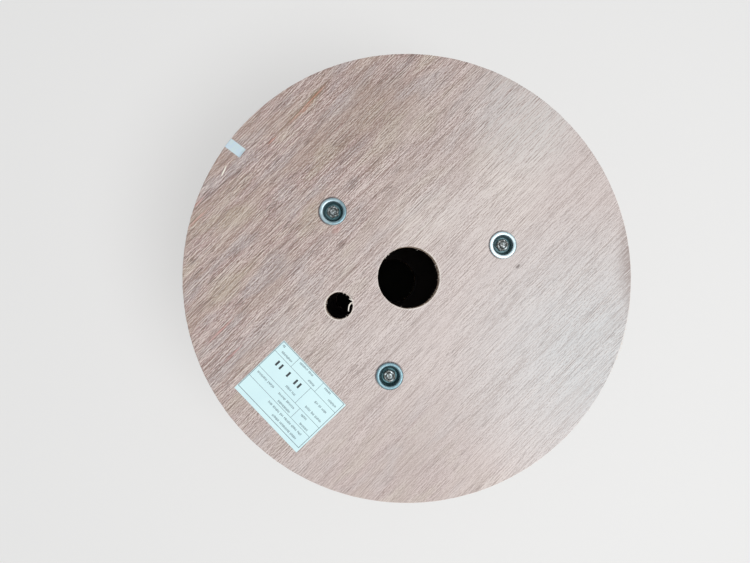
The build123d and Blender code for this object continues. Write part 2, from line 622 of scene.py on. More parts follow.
    @staticmethod
    def _ringed(graph: Graph, base: Value, flat: Value, ring: Ring, ticks: Value) -> Value:
        """Add one ring.

        Args:
            graph: The material's graph.
            base: The colour so far.
            flat: The object's coordinates, without their height.
            ring: The ring.
            ticks: The veneer's shortest lines, which break the ring up.

        Returns:
            The colour with the ring.
        """
        outer, inner = ring.radius + ring.width, ring.radius + 0.5 * ring.width
        line = graph.distance(flat, (*ring.centre, 0.0)).rise(outer, inner)
        way = (math.cos(math.radians(ring.side)), math.sin(math.radians(ring.side)), 0.0)
        level = ring.centre[0] * way[0] + ring.centre[1] * way[1]
        near = graph.dot(flat, way).rise(level - 0.5 * ring.radius, level + 0.6 * ring.radius)
        return graph.mix(line * near * ticks.spread(-0.15, 0.0, 0.6, 1.0) * ring.share, base, ring.colour)

    @staticmethod
    def _marked(graph: Graph, base: Value, place: Value, mark: Mark, lines: Value) -> Value:
        """Add one mark.

        Args:
            graph: The material's graph.
            base: The colour so far.
            place: The object's coordinates.
            mark: The mark.
            lines: The veneer's fine lines, which break the mark up.

        Returns:
            The colour with the mark.
        """
        half_length, half_width = mark.half_length * MM, mark.half_width * MM
        scale = (1.0 / half_length, 1.0 / half_width, 0.0)
        centre = (mark.along * MM / half_length, mark.across * MM / half_width, 0.0)
        turned = graph.turned(place, -mark.direction)
        near = graph.distance(graph.stretched(turned, scale), centre).rise(1.0, 0.35)
        return graph.mix(near * lines.rise(-0.16, 0.02) * mark.share, base, mark.colour)


@dataclass(frozen=True)
class PlyEdgeFinish:
    """Sawn edge of plywood, where the plies show as bands of end grain and long grain."""

    name: str
    foot: float
    thickness: float
    joints: tuple[float, ...]
    half_glue: float = 0.13 * MM
    grain_angle: float = 45.0
    long_grain: Tone = tone(214, 192, 166)
    end_grain: Tone = tone(158, 124, 98)
    face_ply: Tone = tone(186, 156, 142)
    glue: Tone = tone(92, 66, 50)
    soil: Tone = tone(120, 104, 90)
    frayed: Tone = tone(224, 213, 204)

    def build(self) -> bpy.types.Material:
        """Make the material.

        Returns:
            The material of the sawn edges.
        """
        graph = Graph(self.name)
        place = graph.place()
        height = graph.split(place)[2] - self.foot
        wave = graph.noise(place, 60.0, detail=2.0) - 0.5
        level = (height + wave * (0.35 * MM)) / self.thickness
        facing = graph.facing()
        angle = math.radians(self.grain_angle)
        with_face = abs(graph.dot(facing, (math.cos(angle), math.sin(angle), 0.0)))
        with_cross = abs(graph.dot(facing, (-math.sin(angle), math.cos(angle), 0.0)))
        cross_share = graph.lookup(level, self._bands(), jump=True)
        end_share = with_face * (1.0 - cross_share) + with_cross * cross_share
        speckle = graph.noise(place, 2400.0, detail=1.0)
        lines = graph.noise(place, (55.0, 55.0, 2600.0), detail=2.0)
        patch = graph.noise(place, (35.0, 35.0, 300.0), detail=2.0)
        texture = speckle * end_share + lines * (1.0 - end_share)
        colour = graph.mix(end_share.rise(0.25, 0.95), self.long_grain, self.end_grain)
        face_share = graph.lookup(level, self._faces(), jump=True)
        colour = graph.mix(face_share * 0.6, colour, self.face_ply)
        colour = graph.mix(texture.rise(0.56, 0.30) * 0.6, colour, self.soil)
        colour = graph.mix(texture.rise(0.52, 0.74) * 0.35, colour, self.long_grain)
        glue_share = graph.lookup(level, self._glue())
        colour = graph.mix(glue_share * 0.85, colour, self.glue)
        colour = graph.mix(patch.rise(0.55, 0.75) * 0.35, colour, self.soil)
        from_face = height.least(self.thickness - height)
        colour = graph.mix(from_face.rise(0.8 * MM, 0.3 * MM) * 0.85, colour, self.frayed)
        relief = texture * 0.6 + (1.0 - glue_share) * 0.4
        rough = patch.spread(0.3, 0.7, 0.68, 0.86)
        return graph.finish(Base_Color=colour, Roughness=rough, Normal=graph.relief(relief, 0.25 * MM))

    def _bands(self) -> list[Flat]:
        """Give each ply its grain direction.

        Returns:
            The foot of each ply, as a share of the thickness, with its direction.
        """
        feet = [foot / self.thickness for foot in (0.0, *self.joints)]
        return [(foot, (Ply.ACROSS if index % 2 else Ply.ALONG).value) for index, foot in enumerate(feet)]

    def _faces(self) -> list[Flat]:
        """Return stops that are 1 on the two face veneers."""
        return [(0.0, 1.0), (self.joints[0] / self.thickness, 0.0), (self.joints[-1] / self.thickness, 1.0)]

    def _glue(self) -> list[Flat]:
        """Mark the glue lines.

        Returns:
            Stops that peak at each joint between two plies.
        """
        stops = []
        for joint in self.joints:
            for shift, share in ((-self.half_glue, 0.0), (0.0, 1.0), (self.half_glue, 0.0)):
                stops.append(((joint + shift) / self.thickness, share))
        return stops


@dataclass(frozen=True)
class StaveFinish:
    """Raw sawn softwood with upright grain, different on every stave."""

    name: str = "stave_softwood"
    stave_count: int = 24
    inner_radius: float = BARREL_BORE
    width: float = 27.0 * MM
    pale: Tone = tone(224, 203, 172)
    warm: Tone = tone(207, 180, 143)
    late_wood: Tone = tone(168, 130, 92)
    grey: Tone = tone(178, 164, 146)
    knot: Tone = tone(104, 72, 48)
    inside_shade: Tone = tone(58, 46, 38)

    def build(self) -> bpy.types.Material:
        """Make the material.

        Returns:
            The softwood material.
        """
        graph = Graph(self.name)
        place = graph.place()
        x, y, z = graph.split(place)
        angle = graph.node("ShaderNodeMath", {"operation": "ARCTAN2"}, {0: y, 1: x})
        pitch = math.tau / self.stave_count
        turn = angle / pitch + 0.5 + self.stave_count
        number = turn.floor()
        luck = graph.chance(number)
        other_luck = graph.chance(number + 71.0)
        radius = graph.distance(graph.join(x, y, 0.0), (0.0, 0.0, 0.0))
        sideways = (turn - number) * self.width + luck * 3.0
        inwards = radius + other_luck * 5.0
        upwards = z * 0.06 + luck * 2.0
        own = graph.join(sideways, inwards, upwards)
        bend = graph.noise(own, (30.0, 30.0, 40.0), detail=1.0) - 0.5
        wood = graph.join(sideways + bend * (9 * MM), inwards, upwards)
        rings = graph.noise(wood, (330.0, 120.0, 20.0), detail=2.0)
        fibres = graph.noise(wood, (1700.0, 1700.0, 90.0), detail=2.0)
        stains = graph.noise(place, (24.0, 24.0, 9.0), detail=3.0)
        colour = graph.mix(luck, self.pale, self.warm)
        colour = graph.mix(other_luck.rise(0.7, 1.0) * 0.5, colour, self.grey)
        colour = graph.mix(rings.rise(0.50, 0.70) * 0.55, colour, self.late_wood)
        colour = graph.mix(fibres.rise(0.52, 0.26) * 0.35, colour, self.late_wood)
        colour = graph.mix(fibres.rise(0.54, 0.76) * 0.3, colour, self.pale)
        colour = graph.mix(stains.rise(0.56, 0.78) * 0.35, colour, self.grey)
        cells = {"Vector": graph.join(angle * 1.5, z * 9.0, radius), "Scale": 1.4}
        spots = graph.node("ShaderNodeTexVoronoi", {}, cells)
        colour = graph.mix(spots.rise(0.075, 0.03) * 0.85, colour, self.knot)
        # Painted shade: the staves' inner faces, inside the barrel, turn nearly black.
        inside_shade_share = radius.rise(self.inner_radius + 1.2 * MM, self.inner_radius + 0.6 * MM)
        colour = graph.mix(inside_shade_share * 0.96, colour, self.inside_shade)
        relief = fibres * 0.5 + rings * 0.5
        rough = fibres.spread(0.3, 0.7, 0.62, 0.8)
        return graph.finish(Base_Color=colour, Roughness=rough, Normal=graph.relief(relief, 0.25 * MM))


@dataclass(frozen=True)
class ZincFinish:
    """Bright zinc plate with a blue passivation; painted shade darkens it down in the cups, where it is also
    dull and grimy.
    """

    name: str = "blue_zinc"
    grime_and_glints: float = 0.0
    drum_height: float = 250.5 * MM
    bright: Tone = tone(205, 223, 229)
    blue: Tone = tone(110, 136, 145)
    straw: Tone = tone(190, 200, 192)
    dull_and_shaded: Tone = tone(72, 110, 116)
    grease: Tone = tone(58, 55, 50)
    glint: Tone = tone(226, 230, 234)

    def build(self) -> bpy.types.Material:
        """Make the material.

        Returns:
            The zinc material.
        """
        graph = Graph(self.name)
        place = graph.place()
        z = graph.split(place)[2]
        depth = z.least(self.drum_height - z)
        cloud = graph.noise(place, 160.0, detail=2.0)
        blotch = graph.noise(place, 430.0, detail=3.0)
        crust = graph.noise(place, 760.0, detail=2.0)
        scratch = graph.noise(graph.turned(place, 30.0), (90.0, 2600.0, 400.0), detail=1.0)
        # Painted shade: down in the cups the zinc turns a dark dull teal and less metallic, partly a real
        # dull film.
        depth_shade = depth.rise(0.9 * MM, 2.6 * MM)
        # Each washer's blueness, with a painted reflection that pales one side.
        tint = graph.node("ShaderNodeAttribute", {"attribute_name": BLUENESS_AND_REFLECTION}, output="Fac")
        tint = (tint + (cloud - 0.5) * 0.8).spread(0.1, 0.9, 0.0, 1.0)
        colour = graph.mix(tint, self.bright, self.blue)
        colour = graph.mix(blotch.rise(0.58, 0.74) * 0.4, colour, self.straw)
        colour = graph.mix(depth_shade * 0.85, colour, self.dull_and_shaded)
        if self.grime_and_glints:
            colour = graph.mix(blotch.rise(0.36, 0.50) * self.grime_and_glints, colour, self.grease)
            # Painted glints: small bright spots on the grimy nuts and rod ends.
            colour = graph.mix(crust.rise(0.59, 0.68) * self.grime_and_glints, colour, self.glint)
        metal = 1.0 - depth_shade * 0.45
        rough = blotch.spread(0.3, 0.7, 0.38, 0.52) + scratch.rise(0.6, 0.75) * 0.1
        relief = scratch.rise(0.62, 0.75) * 0.2 + blotch * 0.4 + crust * (0.4 + self.grime_and_glints)
        normal = graph.relief(relief, (0.03 + 0.12 * self.grime_and_glints) * MM)
        return graph.finish(Base_Color=colour, Metallic=metal, Roughness=rough, Normal=normal)


@dataclass(frozen=True)
class PaperFinish:
    """Matt white label paper with a faint tooth."""

    name: str = "label_paper"
    sheet: Tone = tone(220, 250, 254)
    shade: Tone = tone(210, 242, 250)

    def build(self) -> bpy.types.Material:
        """Make the material.

        Returns:
            The paper material.
        """
        graph = Graph(self.name)
        place = graph.place()
        cloud = graph.noise(place, 26.0, detail=3.0)
        tooth = graph.noise(place, 1800.0, detail=2.0)
        colour = graph.mix(cloud.rise(0.40, 0.66) * 0.6, self.sheet, self.shade)
        rough = tooth.spread(0.3, 0.7, 0.48, 0.6)
        return graph.finish(Base_Color=colour, Roughness=rough, Normal=graph.relief(tooth, 0.03 * MM))


@dataclass(frozen=True)
class InkFinish:
    """Thin printed ink, a little uneven where the paper shows through."""

    name: str
    ink: Tone
    worn: Tone

    def build(self) -> bpy.types.Material:
        """Make the material.

        Returns:
            The ink material.
        """
        graph = Graph(self.name)
        patch = graph.noise(graph.place(), 700.0, detail=2.0)
        colour = graph.mix(patch.rise(0.42, 0.68), self.ink, self.worn)
        return graph.finish(Base_Color=colour, Roughness=patch.spread(0.3, 0.7, 0.45, 0.6))


@dataclass(frozen=True)
class TapeFinish:
    """Milky tape, through which the wood just shows."""

    name: str = "milky_tape"
    film: Tone = tone(208, 228, 242)
    edge: Tone = tone(222, 241, 240)
    inner_end: float = 183.5 * MM

    def build(self) -> bpy.types.Material:
        """Make the material.

        Returns:
            The tape material.
        """
        graph = Graph(self.name)
        place = graph.place()
        cloud = graph.noise(place, 170.0, detail=2.0)
        radius = graph.distance(graph.stretched(place, (1.0, 1.0, 0.0)), (0.0, 0.0, 0.0))
        colour = graph.mix(cloud.rise(0.40, 0.68) * 0.6, self.film, self.edge)
        ripple = graph.noise(graph.turned(place, 37.0), (90.0, 300.0, 300.0), detail=1.0)
        stuck = radius.rise(self.inner_end - 0.5 * MM, self.inner_end + 2.5 * MM)
        seen = cloud.spread(0.3, 0.7, 0.98, 0.92) * (stuck * 0.2 + 0.8)
        rough = ripple.spread(0.3, 0.7, 0.26, 0.4)
        normal = graph.relief(ripple, 0.04 * MM)
        return graph.finish(Base_Color=colour, Roughness=rough, Alpha=seen, Normal=normal)


@dataclass(frozen=True)
class FibreFinish:
    """Torn wood fibres, paler than the face that they come from."""

    name: str
    fresh: Tone = tone(244, 238, 230)
    dusty: Tone = tone(224, 212, 202)

    def build(self) -> bpy.types.Material:
        """Make the material.

        Returns:
            The fibre material.
        """
        graph = Graph(self.name)
        cloud = graph.noise(graph.place(), 300.0, detail=2.0)
        colour = graph.mix(cloud.rise(0.38, 0.66), self.fresh, self.dusty)
        return graph.finish(Base_Color=colour, Roughness=cloud.spread(0.3, 0.7, 0.6, 0.8))


# Modelling by hand


class Bench:
    """Modelling steps that several parts share."""

    @staticmethod
    def clear_selection() -> None:
        """Deselect every object."""
        for thing in bpy.context.view_layer.objects:
            thing.select_set(False)

    @staticmethod
    def grab(*things: bpy.types.Object) -> None:
        """Select only these objects, and make the first of them active.

        Args:
            things: The objects.
        """
        Bench.clear_selection()
        for thing in things:
            thing.select_set(True)
        bpy.context.view_layer.objects.active = things[0]

    @staticmethod
    def named(name: str) -> bpy.types.Object:
        """Name the active object and its mesh.

        Args:
            name: The new name.

        Returns:
            The object.
        """
        thing = bpy.context.active_object
        thing.name = name
        thing.data.name = name
        return thing

    @staticmethod
    def settle(thing: bpy.types.Object) -> bpy.types.Object:
        """Move an object's place, turn and scale into its mesh.

        Args:
            thing: The object.

        Returns:
            The same object.
        """
        Bench.grab(thing)
        bpy.ops.object.transform_apply(location=True, rotation=True, scale=True)
        return thing

    @staticmethod
    def apply_all(thing: bpy.types.Object) -> None:
        """Apply every modifier of an object, in order.

        Args:
            thing: The object.
        """
        Bench.grab(thing)
        for modifier in list(thing.modifiers):
            bpy.ops.object.modifier_apply(modifier=modifier.name)

    @staticmethod
    @contextmanager
    def editing() -> Iterator[None]:
        """Hold the active object in edit mode.

        Returns:
            A context that goes back to object mode at its end.
        """
        bpy.ops.object.mode_set(mode="EDIT")
        yield
        bpy.ops.object.mode_set(mode="OBJECT")

    @staticmethod
    def score(axis: Point, places: list[float]) -> None:
        """Cut edges right through a mesh in edit mode, without parting it.

        Args:
            axis: The direction that the cuts lie square to.
            places: Where each cut lies along it.
        """
        for place in places:
            bpy.ops.mesh.select_all(action="SELECT")
            bpy.ops.mesh.bisect(plane_co=tuple(share * place for share in axis), plane_no=axis)

    @staticmethod
    def bar(name: str, cuts: list[float]) -> bpy.types.Object:
        """Make a bar along +X, 1 long and 1 across.

        Args:
            name: The piece's name.
            cuts: Where it is cut into lengths, from 0 to 1.

        Returns:
            The bar.
        """
        Bench.clear_selection()
        bpy.ops.mesh.primitive_cube_add(size=1.0, location=(0.5, 0.0, 0.0))
        thing = Bench.settle(Bench.named(name))
        with Bench.editing():
            Bench.score((1.0, 0.0, 0.0), cuts)
        return thing

    @staticmethod
    def placed(name: str, data: bpy.types.ID) -> bpy.types.Object:
        """Put a new object into the scene.

        Args:
            name: The object's name.
            data: Its mesh, camera or light.

        Returns:
            The object.
        """
        thing = bpy.data.objects.new(name, data)
        bpy.context.scene.collection.objects.link(thing)
        return thing

    @staticmethod
    def turned(name: str, profile: list[Flat], centre: Point, steps: int) -> bpy.types.Object:
        """Turn a closed profile about an upright axis, as on a lathe.

        Args:
            name: The piece's name.
            profile: Radius and height of each corner, all round the section.
            centre: Where the axis stands. Heights are added to its Z.
            steps: Steps round the axis.

        Returns:
            The turned piece, closed and with its faces outwards.
        """
        Bench.clear_selection()
        corners = [Vector((centre[0] + radius, centre[1], centre[2] + height)) for radius, height in profile]
        bpy.ops.mesh.primitive_plane_add(size=MM, location=corners[0])
        thing = Bench.settle(Bench.named(name))
        with Bench.editing():
            bpy.ops.mesh.select_all(action="SELECT")
            bpy.ops.mesh.merge(type="CENTER")
            for start, end in zip(corners, corners[1:] + corners[:1]):
                bpy.ops.mesh.extrude_vertices_move(TRANSFORM_OT_translate={"value": end - start})
            bpy.ops.mesh.select_all(action="SELECT")
            bpy.ops.mesh.spin(steps=steps, angle=math.tau, center=centre, axis=(0.0, 0.0, 1.0))
            bpy.ops.mesh.select_all(action="SELECT")
            bpy.ops.mesh.remove_doubles(threshold=1e-6)
            bpy.ops.mesh.normals_make_consistent(inside=False)
        return thing

    @staticmethod
    def cut(thing: bpy.types.Object, cutters: list[bpy.types.Object]) -> None:
        """Cut several shapes that don't touch out of a piece.

        Args:
            thing: The piece.
            cutters: The shapes, which are used up.
        """
        Bench.grab(*cutters)
        bpy.ops.object.join()
        tool = bpy.context.active_object
        modifier = thing.modifiers.new("holes", "BOOLEAN")
        modifier.object = tool
        modifier.solver = "EXACT"
        Bench.apply_all(thing)
        bpy.data.objects.remove(tool, do_unlink=True)

    @staticmethod
    def ripple(
        thing: bpy.types.Object, direction: str, size: float, travel: float, rest: float, layers: int = 1
    ) -> bpy.types.Modifier:
        """Let a cloud texture move the points of a piece.

        Args:
            thing: The piece.
            direction: The way that they move: X, Y, Z or NORMAL.
            size: The size of the bumps.
            travel: The full travel.
            rest: The grey that leaves a point where it is.
            layers: How many finer layers the clouds have.

        Returns:
            The modifier, not yet applied.
        """
        texture = bpy.data.textures.new(f"{thing.name}_{direction}", "CLOUDS")
        texture.noise_scale = size
        texture.noise_depth = layers
        modifier = thing.modifiers.new(f"ripple_{direction}", "DISPLACE")
        modifier.texture = texture
        modifier.texture_coords = "LOCAL"
        modifier.direction = direction
        modifier.strength = travel
        modifier.mid_level = rest
        return modifier

    @staticmethod
    def roughen(thing: bpy.types.Object, group: str, size: float, depth: float) -> None:
        """Move the points of a group sideways a little, by two cloud textures.

        Args:
            thing: The piece.
            group: The vertex group that moves.
            size: The size of the bumps.
            depth: The full travel.
        """
        for axis, shift in (("X", 1.0), ("Y", 1.7)):
            Bench.ripple(thing, axis, size * shift, depth, 0.5, layers=2).vertex_group = group
        Bench.apply_all(thing)

    @staticmethod
    def group_all(thing: bpy.types.Object, name: str) -> None:
        """Put every point of a piece in a new vertex group."""
        group = thing.vertex_groups.new(name=name)
        group.add([point.index for point in thing.data.vertices], 1.0, "REPLACE")

    @staticmethod
    def thicken(thing: bpy.types.Object, sheet: float) -> None:
        """Give a sheet its thickness and apply all modifiers.

        Args:
            thing: The sheet.
            sheet: Its thickness, which is added outwards.
        """
        thick = thing.modifiers.new("sheet", "SOLIDIFY")
        thick.thickness = sheet
        thick.offset = 1.0
        Bench.apply_all(thing)

    @staticmethod
    def smooth(thing: bpy.types.Object, degrees: float = 30.0) -> None:
        """Shade a piece smooth up to an angle."""
        Bench.grab(thing)
        bpy.ops.object.shade_smooth_by_angle(angle=math.radians(degrees))

    @staticmethod
    def hand_over(thing: bpy.types.Object, slot: str, nodes: list[str]) -> None:
        """Attach a finished piece to the drum's body and hide the frame's nodes that it stands for.

        Args:
            thing: The piece.
            slot: Not used.
            nodes: The frame's nodes that it stands for, if any.
        """
        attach(thing, BODY)
        if nodes:
            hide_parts(*nodes)
        LOG.info("%s: %d faces", thing.name, len(thing.data.polygons))


# The drum's parts


@dataclass
class Flange:
    """One plywood flange: a turned disc with its plies, a drive hole and seats for the washers."""

    end: End
    face_finish: bpy.types.Material
    back_finish: bpy.types.Material
    edge_finish: bpy.types.Material
    joints: tuple[float, ...]
    steps: int = 720
    rim_allowance: float = 0.7 * MM
    edge_round: float = 0.6 * MM
    edge_band: float = 1.4 * MM
    joint_width: float = 0.14 * MM
    joint_depth: float = 0.22 * MM
    bore_radius: float = BORE_RADIUS
    groove_outer_radius: float = 106.2 * MM
    groove_inner_radius: float = 95.7 * MM
    groove_depth: float = 3 * MM
    drive_radius: float = DRIVE_RADIUS
    drive_place: Flat = DRIVE_PLACE
    seat_radius: float = 12.3 * MM
    seat_depth: float = 0.4 * MM
    cup_seat_radius: float = 10.0 * MM
    cup_seat_depth: float = 6.5 * MM
    rod_hole_radius: float = 3.5 * MM
    flush_drop: float = 0.5 * MM
    hole_steps: int = 180
    seat_steps: int = 96
    rim_rough: Flat = (3.0 * MM, 0.5 * MM)
    hole_rough: Flat = (1.6 * MM, 0.35 * MM)
    sawn_margin: float = 0.1 * MM
    over: float = 1 * MM

    def __post_init__(self) -> None:
        """Read the flange's place from the frame."""
        self.node = f"flange_{self.end.value}"
        low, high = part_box(self.node)
        self.thickness = high.z - low.z
        self.face_height = high.z if self.end is End.UPPER else low.z
        reach = min(high.x, high.y, -low.x, -low.y)
        self.radius = reach - self.rim_allowance

    def _wall(self, radius: float, inwards: float) -> list[Flat]:
        """List the corners of a sawn wall, from the outer face to the inner one.

        Args:
            radius: The wall's radius.
            inwards: Direction in radius that leads into the wood.

        Returns:
            Radius and depth below the outer face of each corner.
        """
        soft = self.edge_round
        shape = [(radius + inwards * soft, 0.0), (radius + inwards * soft * 0.3, soft * 0.3), (radius, soft)]
        for joint in self.joints:
            shape.append((radius, joint - self.joint_width))
            shape.append((radius + inwards * self.joint_depth, joint))
            shape.append((radius, joint + self.joint_width))
        back = self.thickness
        shape.append((radius, back - soft))
        shape.append((radius + inwards * soft * 0.3, back - soft * 0.3))
        shape.append((radius + inwards * soft, back))
        return shape

    def _section(self) -> list[Flat]:
        """List the corners of the whole section, all round.

        Returns:
            Radius and depth below the outer face of each corner.
        """
        back = self.thickness
        floor = back - self.groove_depth
        band = self.edge_band
        shape = self._wall(self.radius, -1.0)
        shape.append((self.radius - band, back))
        shape.append((self.groove_outer_radius, back))
        shape.append((self.groove_outer_radius, floor))
        shape.append((self.groove_inner_radius, floor))
        shape.append((self.groove_inner_radius, back))
        shape.append((self.bore_radius + band, back))
        shape.extend(reversed(self._wall(self.bore_radius, 1.0)))
        shape.append((self.bore_radius + band, 0.0))
        shape.append((self.radius - band, 0.0))
        return shape

    def _to_height(self, shape: list[Flat]) -> list[Flat]:
        """Turn depths below the outer face into distances along Z from it."""
        return [(radius, -self.end.outward * depth) for radius, depth in shape]

    def _drive_cutter(self) -> bpy.types.Object:
        """Make the shape of the drive hole, a little ragged.

        Returns:
            The cutter.
        """
        over = self.over
        shape = self._wall(self.drive_radius, 1.0)
        shape[0] = (shape[0][0] + over, -over)
        shape[-1] = (shape[-1][0] + over, self.thickness + over)
        shape = [(0.0, -over)] + shape + [(0.0, self.thickness + over)]
        centre = (*self.drive_place, self.face_height)
        name = f"drive_cutter_{self.end.value}"
        cutter = Bench.turned(name, self._to_height(shape), centre, self.hole_steps)
        Bench.group_all(cutter, "wall")
        Bench.roughen(cutter, "wall", *self.hole_rough)
        return cutter

    def _seat_cutter(self, index: int) -> bpy.types.Object:
        """Make the stepped shape under one cup washer.

        Args:
            index: The tie rod's number, from 1.

        Returns:
            The cutter.
        """
        x, y, _, _ = stance(f"tie_rod_{index}")
        over = self.over
        drop = 0.0 if self.end is End.UPPER else self.flush_drop
        lip = self.seat_depth + drop
        cup = self.cup_seat_depth + drop
        shape = [
            (0.0, -over),
            (self.seat_radius, -over),
            (self.seat_radius, lip),
            (self.cup_seat_radius, lip),
            (self.cup_seat_radius, cup),
            (self.rod_hole_radius, cup),
            (self.rod_hole_radius, self.thickness + over),
            (0.0, self.thickness + over),
        ]
        name = f"seat_cutter_{self.end.value}_{index}"
        return Bench.turned(name, self._to_height(shape), (x, y, self.face_height), self.seat_steps)

    def _mark_sawn(self, thing: bpy.types.Object) -> None:
        """Put the points of the rim and of the bore in a group of their own.

        Args:
            thing: The flange.
        """
        group = thing.vertex_groups.new(name="sawn")
        for point in thing.data.vertices:
            distance = math.hypot(point.co.x, point.co.y)
            at_rim = distance > self.radius - self.edge_round - self.sawn_margin
            at_bore = distance < self.bore_radius + self.edge_round + self.sawn_margin
            if at_rim or at_bore:
                group.add([point.index], 1.0, "REPLACE")

    def _dress(self, thing: bpy.types.Object) -> None:
        """Give the faces veneer and the sawn edges ply bands.

        Args:
            thing: The flange.
        """
        thing.data.materials.clear()
        for finish in (self.face_finish, self.back_finish, self.edge_finish):
            thing.data.materials.append(finish)
        for face in thing.data.polygons:
            upright = face.normal.z * self.end.outward
            if abs(upright) < 0.8:
                face.material_index = 2
            elif upright > 0:
                face.material_index = 0
            else:
                face.material_index = 1

    def build(self) -> bpy.types.Object:
        """Make the flange.

        Returns:
            The finished flange.
        """
        centre = (0.0, 0.0, self.face_height)
        shape = self._to_height(self._section())
        thing = Bench.turned(f"plywood_{self.node}", shape, centre, self.steps)
        self._mark_sawn(thing)
        Bench.roughen(thing, "sawn", *self.rim_rough)
        seats = [self._seat_cutter(index) for index in RODS]
        Bench.cut(thing, [self._drive_cutter(), *seats])
        self._dress(thing)
        Bench.smooth(thing)
        Bench.hand_over(thing, "plywood", [self.node])
        return thing


@dataclass
class Barrel:
    """The barrel: flat staves with mitred sides, each a little different."""

    finish: bpy.types.Material
    count: int = 24
    outer_radius: float = 105 * MM
    thickness: float = 9 * MM
    gap: float = 0.3 * MM
    arris: float = 0.8 * MM
    fine_arris: float = 0.2 * MM
    warp_size: float = 45 * MM
    warp: float = 0.35 * MM
    lengths: int = 22
    strip: float = 4 * MM
    draws: random.Random = field(default_factory=lambda: random.Random(24))

    def __post_init__(self) -> None:
        """Read the staves' height from the frame."""
        low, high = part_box("stave_01")
        self.foot = low.z
        self.length = high.z - low.z
        self.slope = math.tan(math.pi / self.count)

    def _first(self) -> bpy.types.Object:
        """Shape the stave that the others are copied from.

        Returns:
            The stave, standing at +X.
        """
        Bench.clear_selection()
        middle = self.outer_radius - self.thickness / 2
        outer_half = self.outer_radius * self.slope - self.gap / 2
        inner_half = (self.outer_radius - self.thickness) * self.slope - self.gap / 2
        place = (middle, 0.0, self.foot + self.length / 2)
        size = (self.thickness, 2 * outer_half, self.length)
        bpy.ops.mesh.primitive_cube_add(size=1.0, location=place, scale=size)
        stave = Bench.settle(Bench.named("stave_blank"))
        with Bench.editing():
            bpy.ops.mesh.select_mode(type="VERT")
        for point in stave.data.vertices:
            point.select = point.co.x < middle
        share = inner_half / outer_half
        with Bench.editing():
            bpy.ops.transform.resize(value=(1.0, share, 1.0), center_override=place)
        self._soften(stave, middle)
        return stave

    def _soften(self, stave: bpy.types.Object, middle: float) -> None:
        """Break the stave's arrises and cut it into short lengths.

        Args:
            stave: The stave.
            middle: The radius halfway through its thickness.
        """
        wide = stave.modifiers.new("arris", "BEVEL")
        wide.width = self.arris
        wide.segments = 2
        wide.limit_method = "WEIGHT"
        weights = stave.data.attributes.new("bevel_weight_edge", "FLOAT", "EDGE")
        points = stave.data.vertices
        for edge in stave.data.edges:
            start, end = (points[index].co for index in edge.vertices)
            upright = abs(start.z - end.z) > self.length / 2
            outside = start.x > middle and end.x > middle
            weights.data[edge.index].value = 1.0 if upright and outside else 0.0
        Bench.apply_all(stave)
        fine = stave.modifiers.new("fine_arris", "BEVEL")
        fine.width = self.fine_arris
        fine.segments = 2
        fine.limit_method = "ANGLE"
        fine.angle_limit = math.radians(60)
        Bench.apply_all(stave)
        heights = [self.foot + self.length * step / self.lengths for step in range(1, self.lengths)]
        with Bench.editing():
            Bench.score((0.0, 0.0, 1.0), heights)
            Bench.score((0.0, 1.0, 0.0), [step * self.strip for step in (-2, -1, 0, 1, 2)])

    def build(self) -> list[bpy.types.Object]:
        """Make all the staves.

        Returns:
            The staves.
        """
        blank = self._first()
        staves = []
        for number in range(1, self.count + 1):
            stave = Bench.placed(f"barrel_stave_{number:02d}", blank.data.copy())
            stave.data.name = stave.name
            set_back = self.draws.uniform(0.0, 0.3) * MM
            angle = (number - 1) * math.tau / self.count
            inwards = Matrix.Translation((-set_back, 0.0, 0.0))
            stave.data.transform(Matrix.Rotation(angle, 4, "Z") @ inwards)
            Bench.group_all(stave, "warp")
            Bench.roughen(stave, "warp", self.warp_size, self.warp)
            stave.data.materials.append(self.finish)
            Bench.smooth(stave)
            Bench.hand_over(stave, "stave_wood", [f"stave_{number:02d}"])
            staves.append(stave)
        bpy.data.objects.remove(blank, do_unlink=True)
        return staves


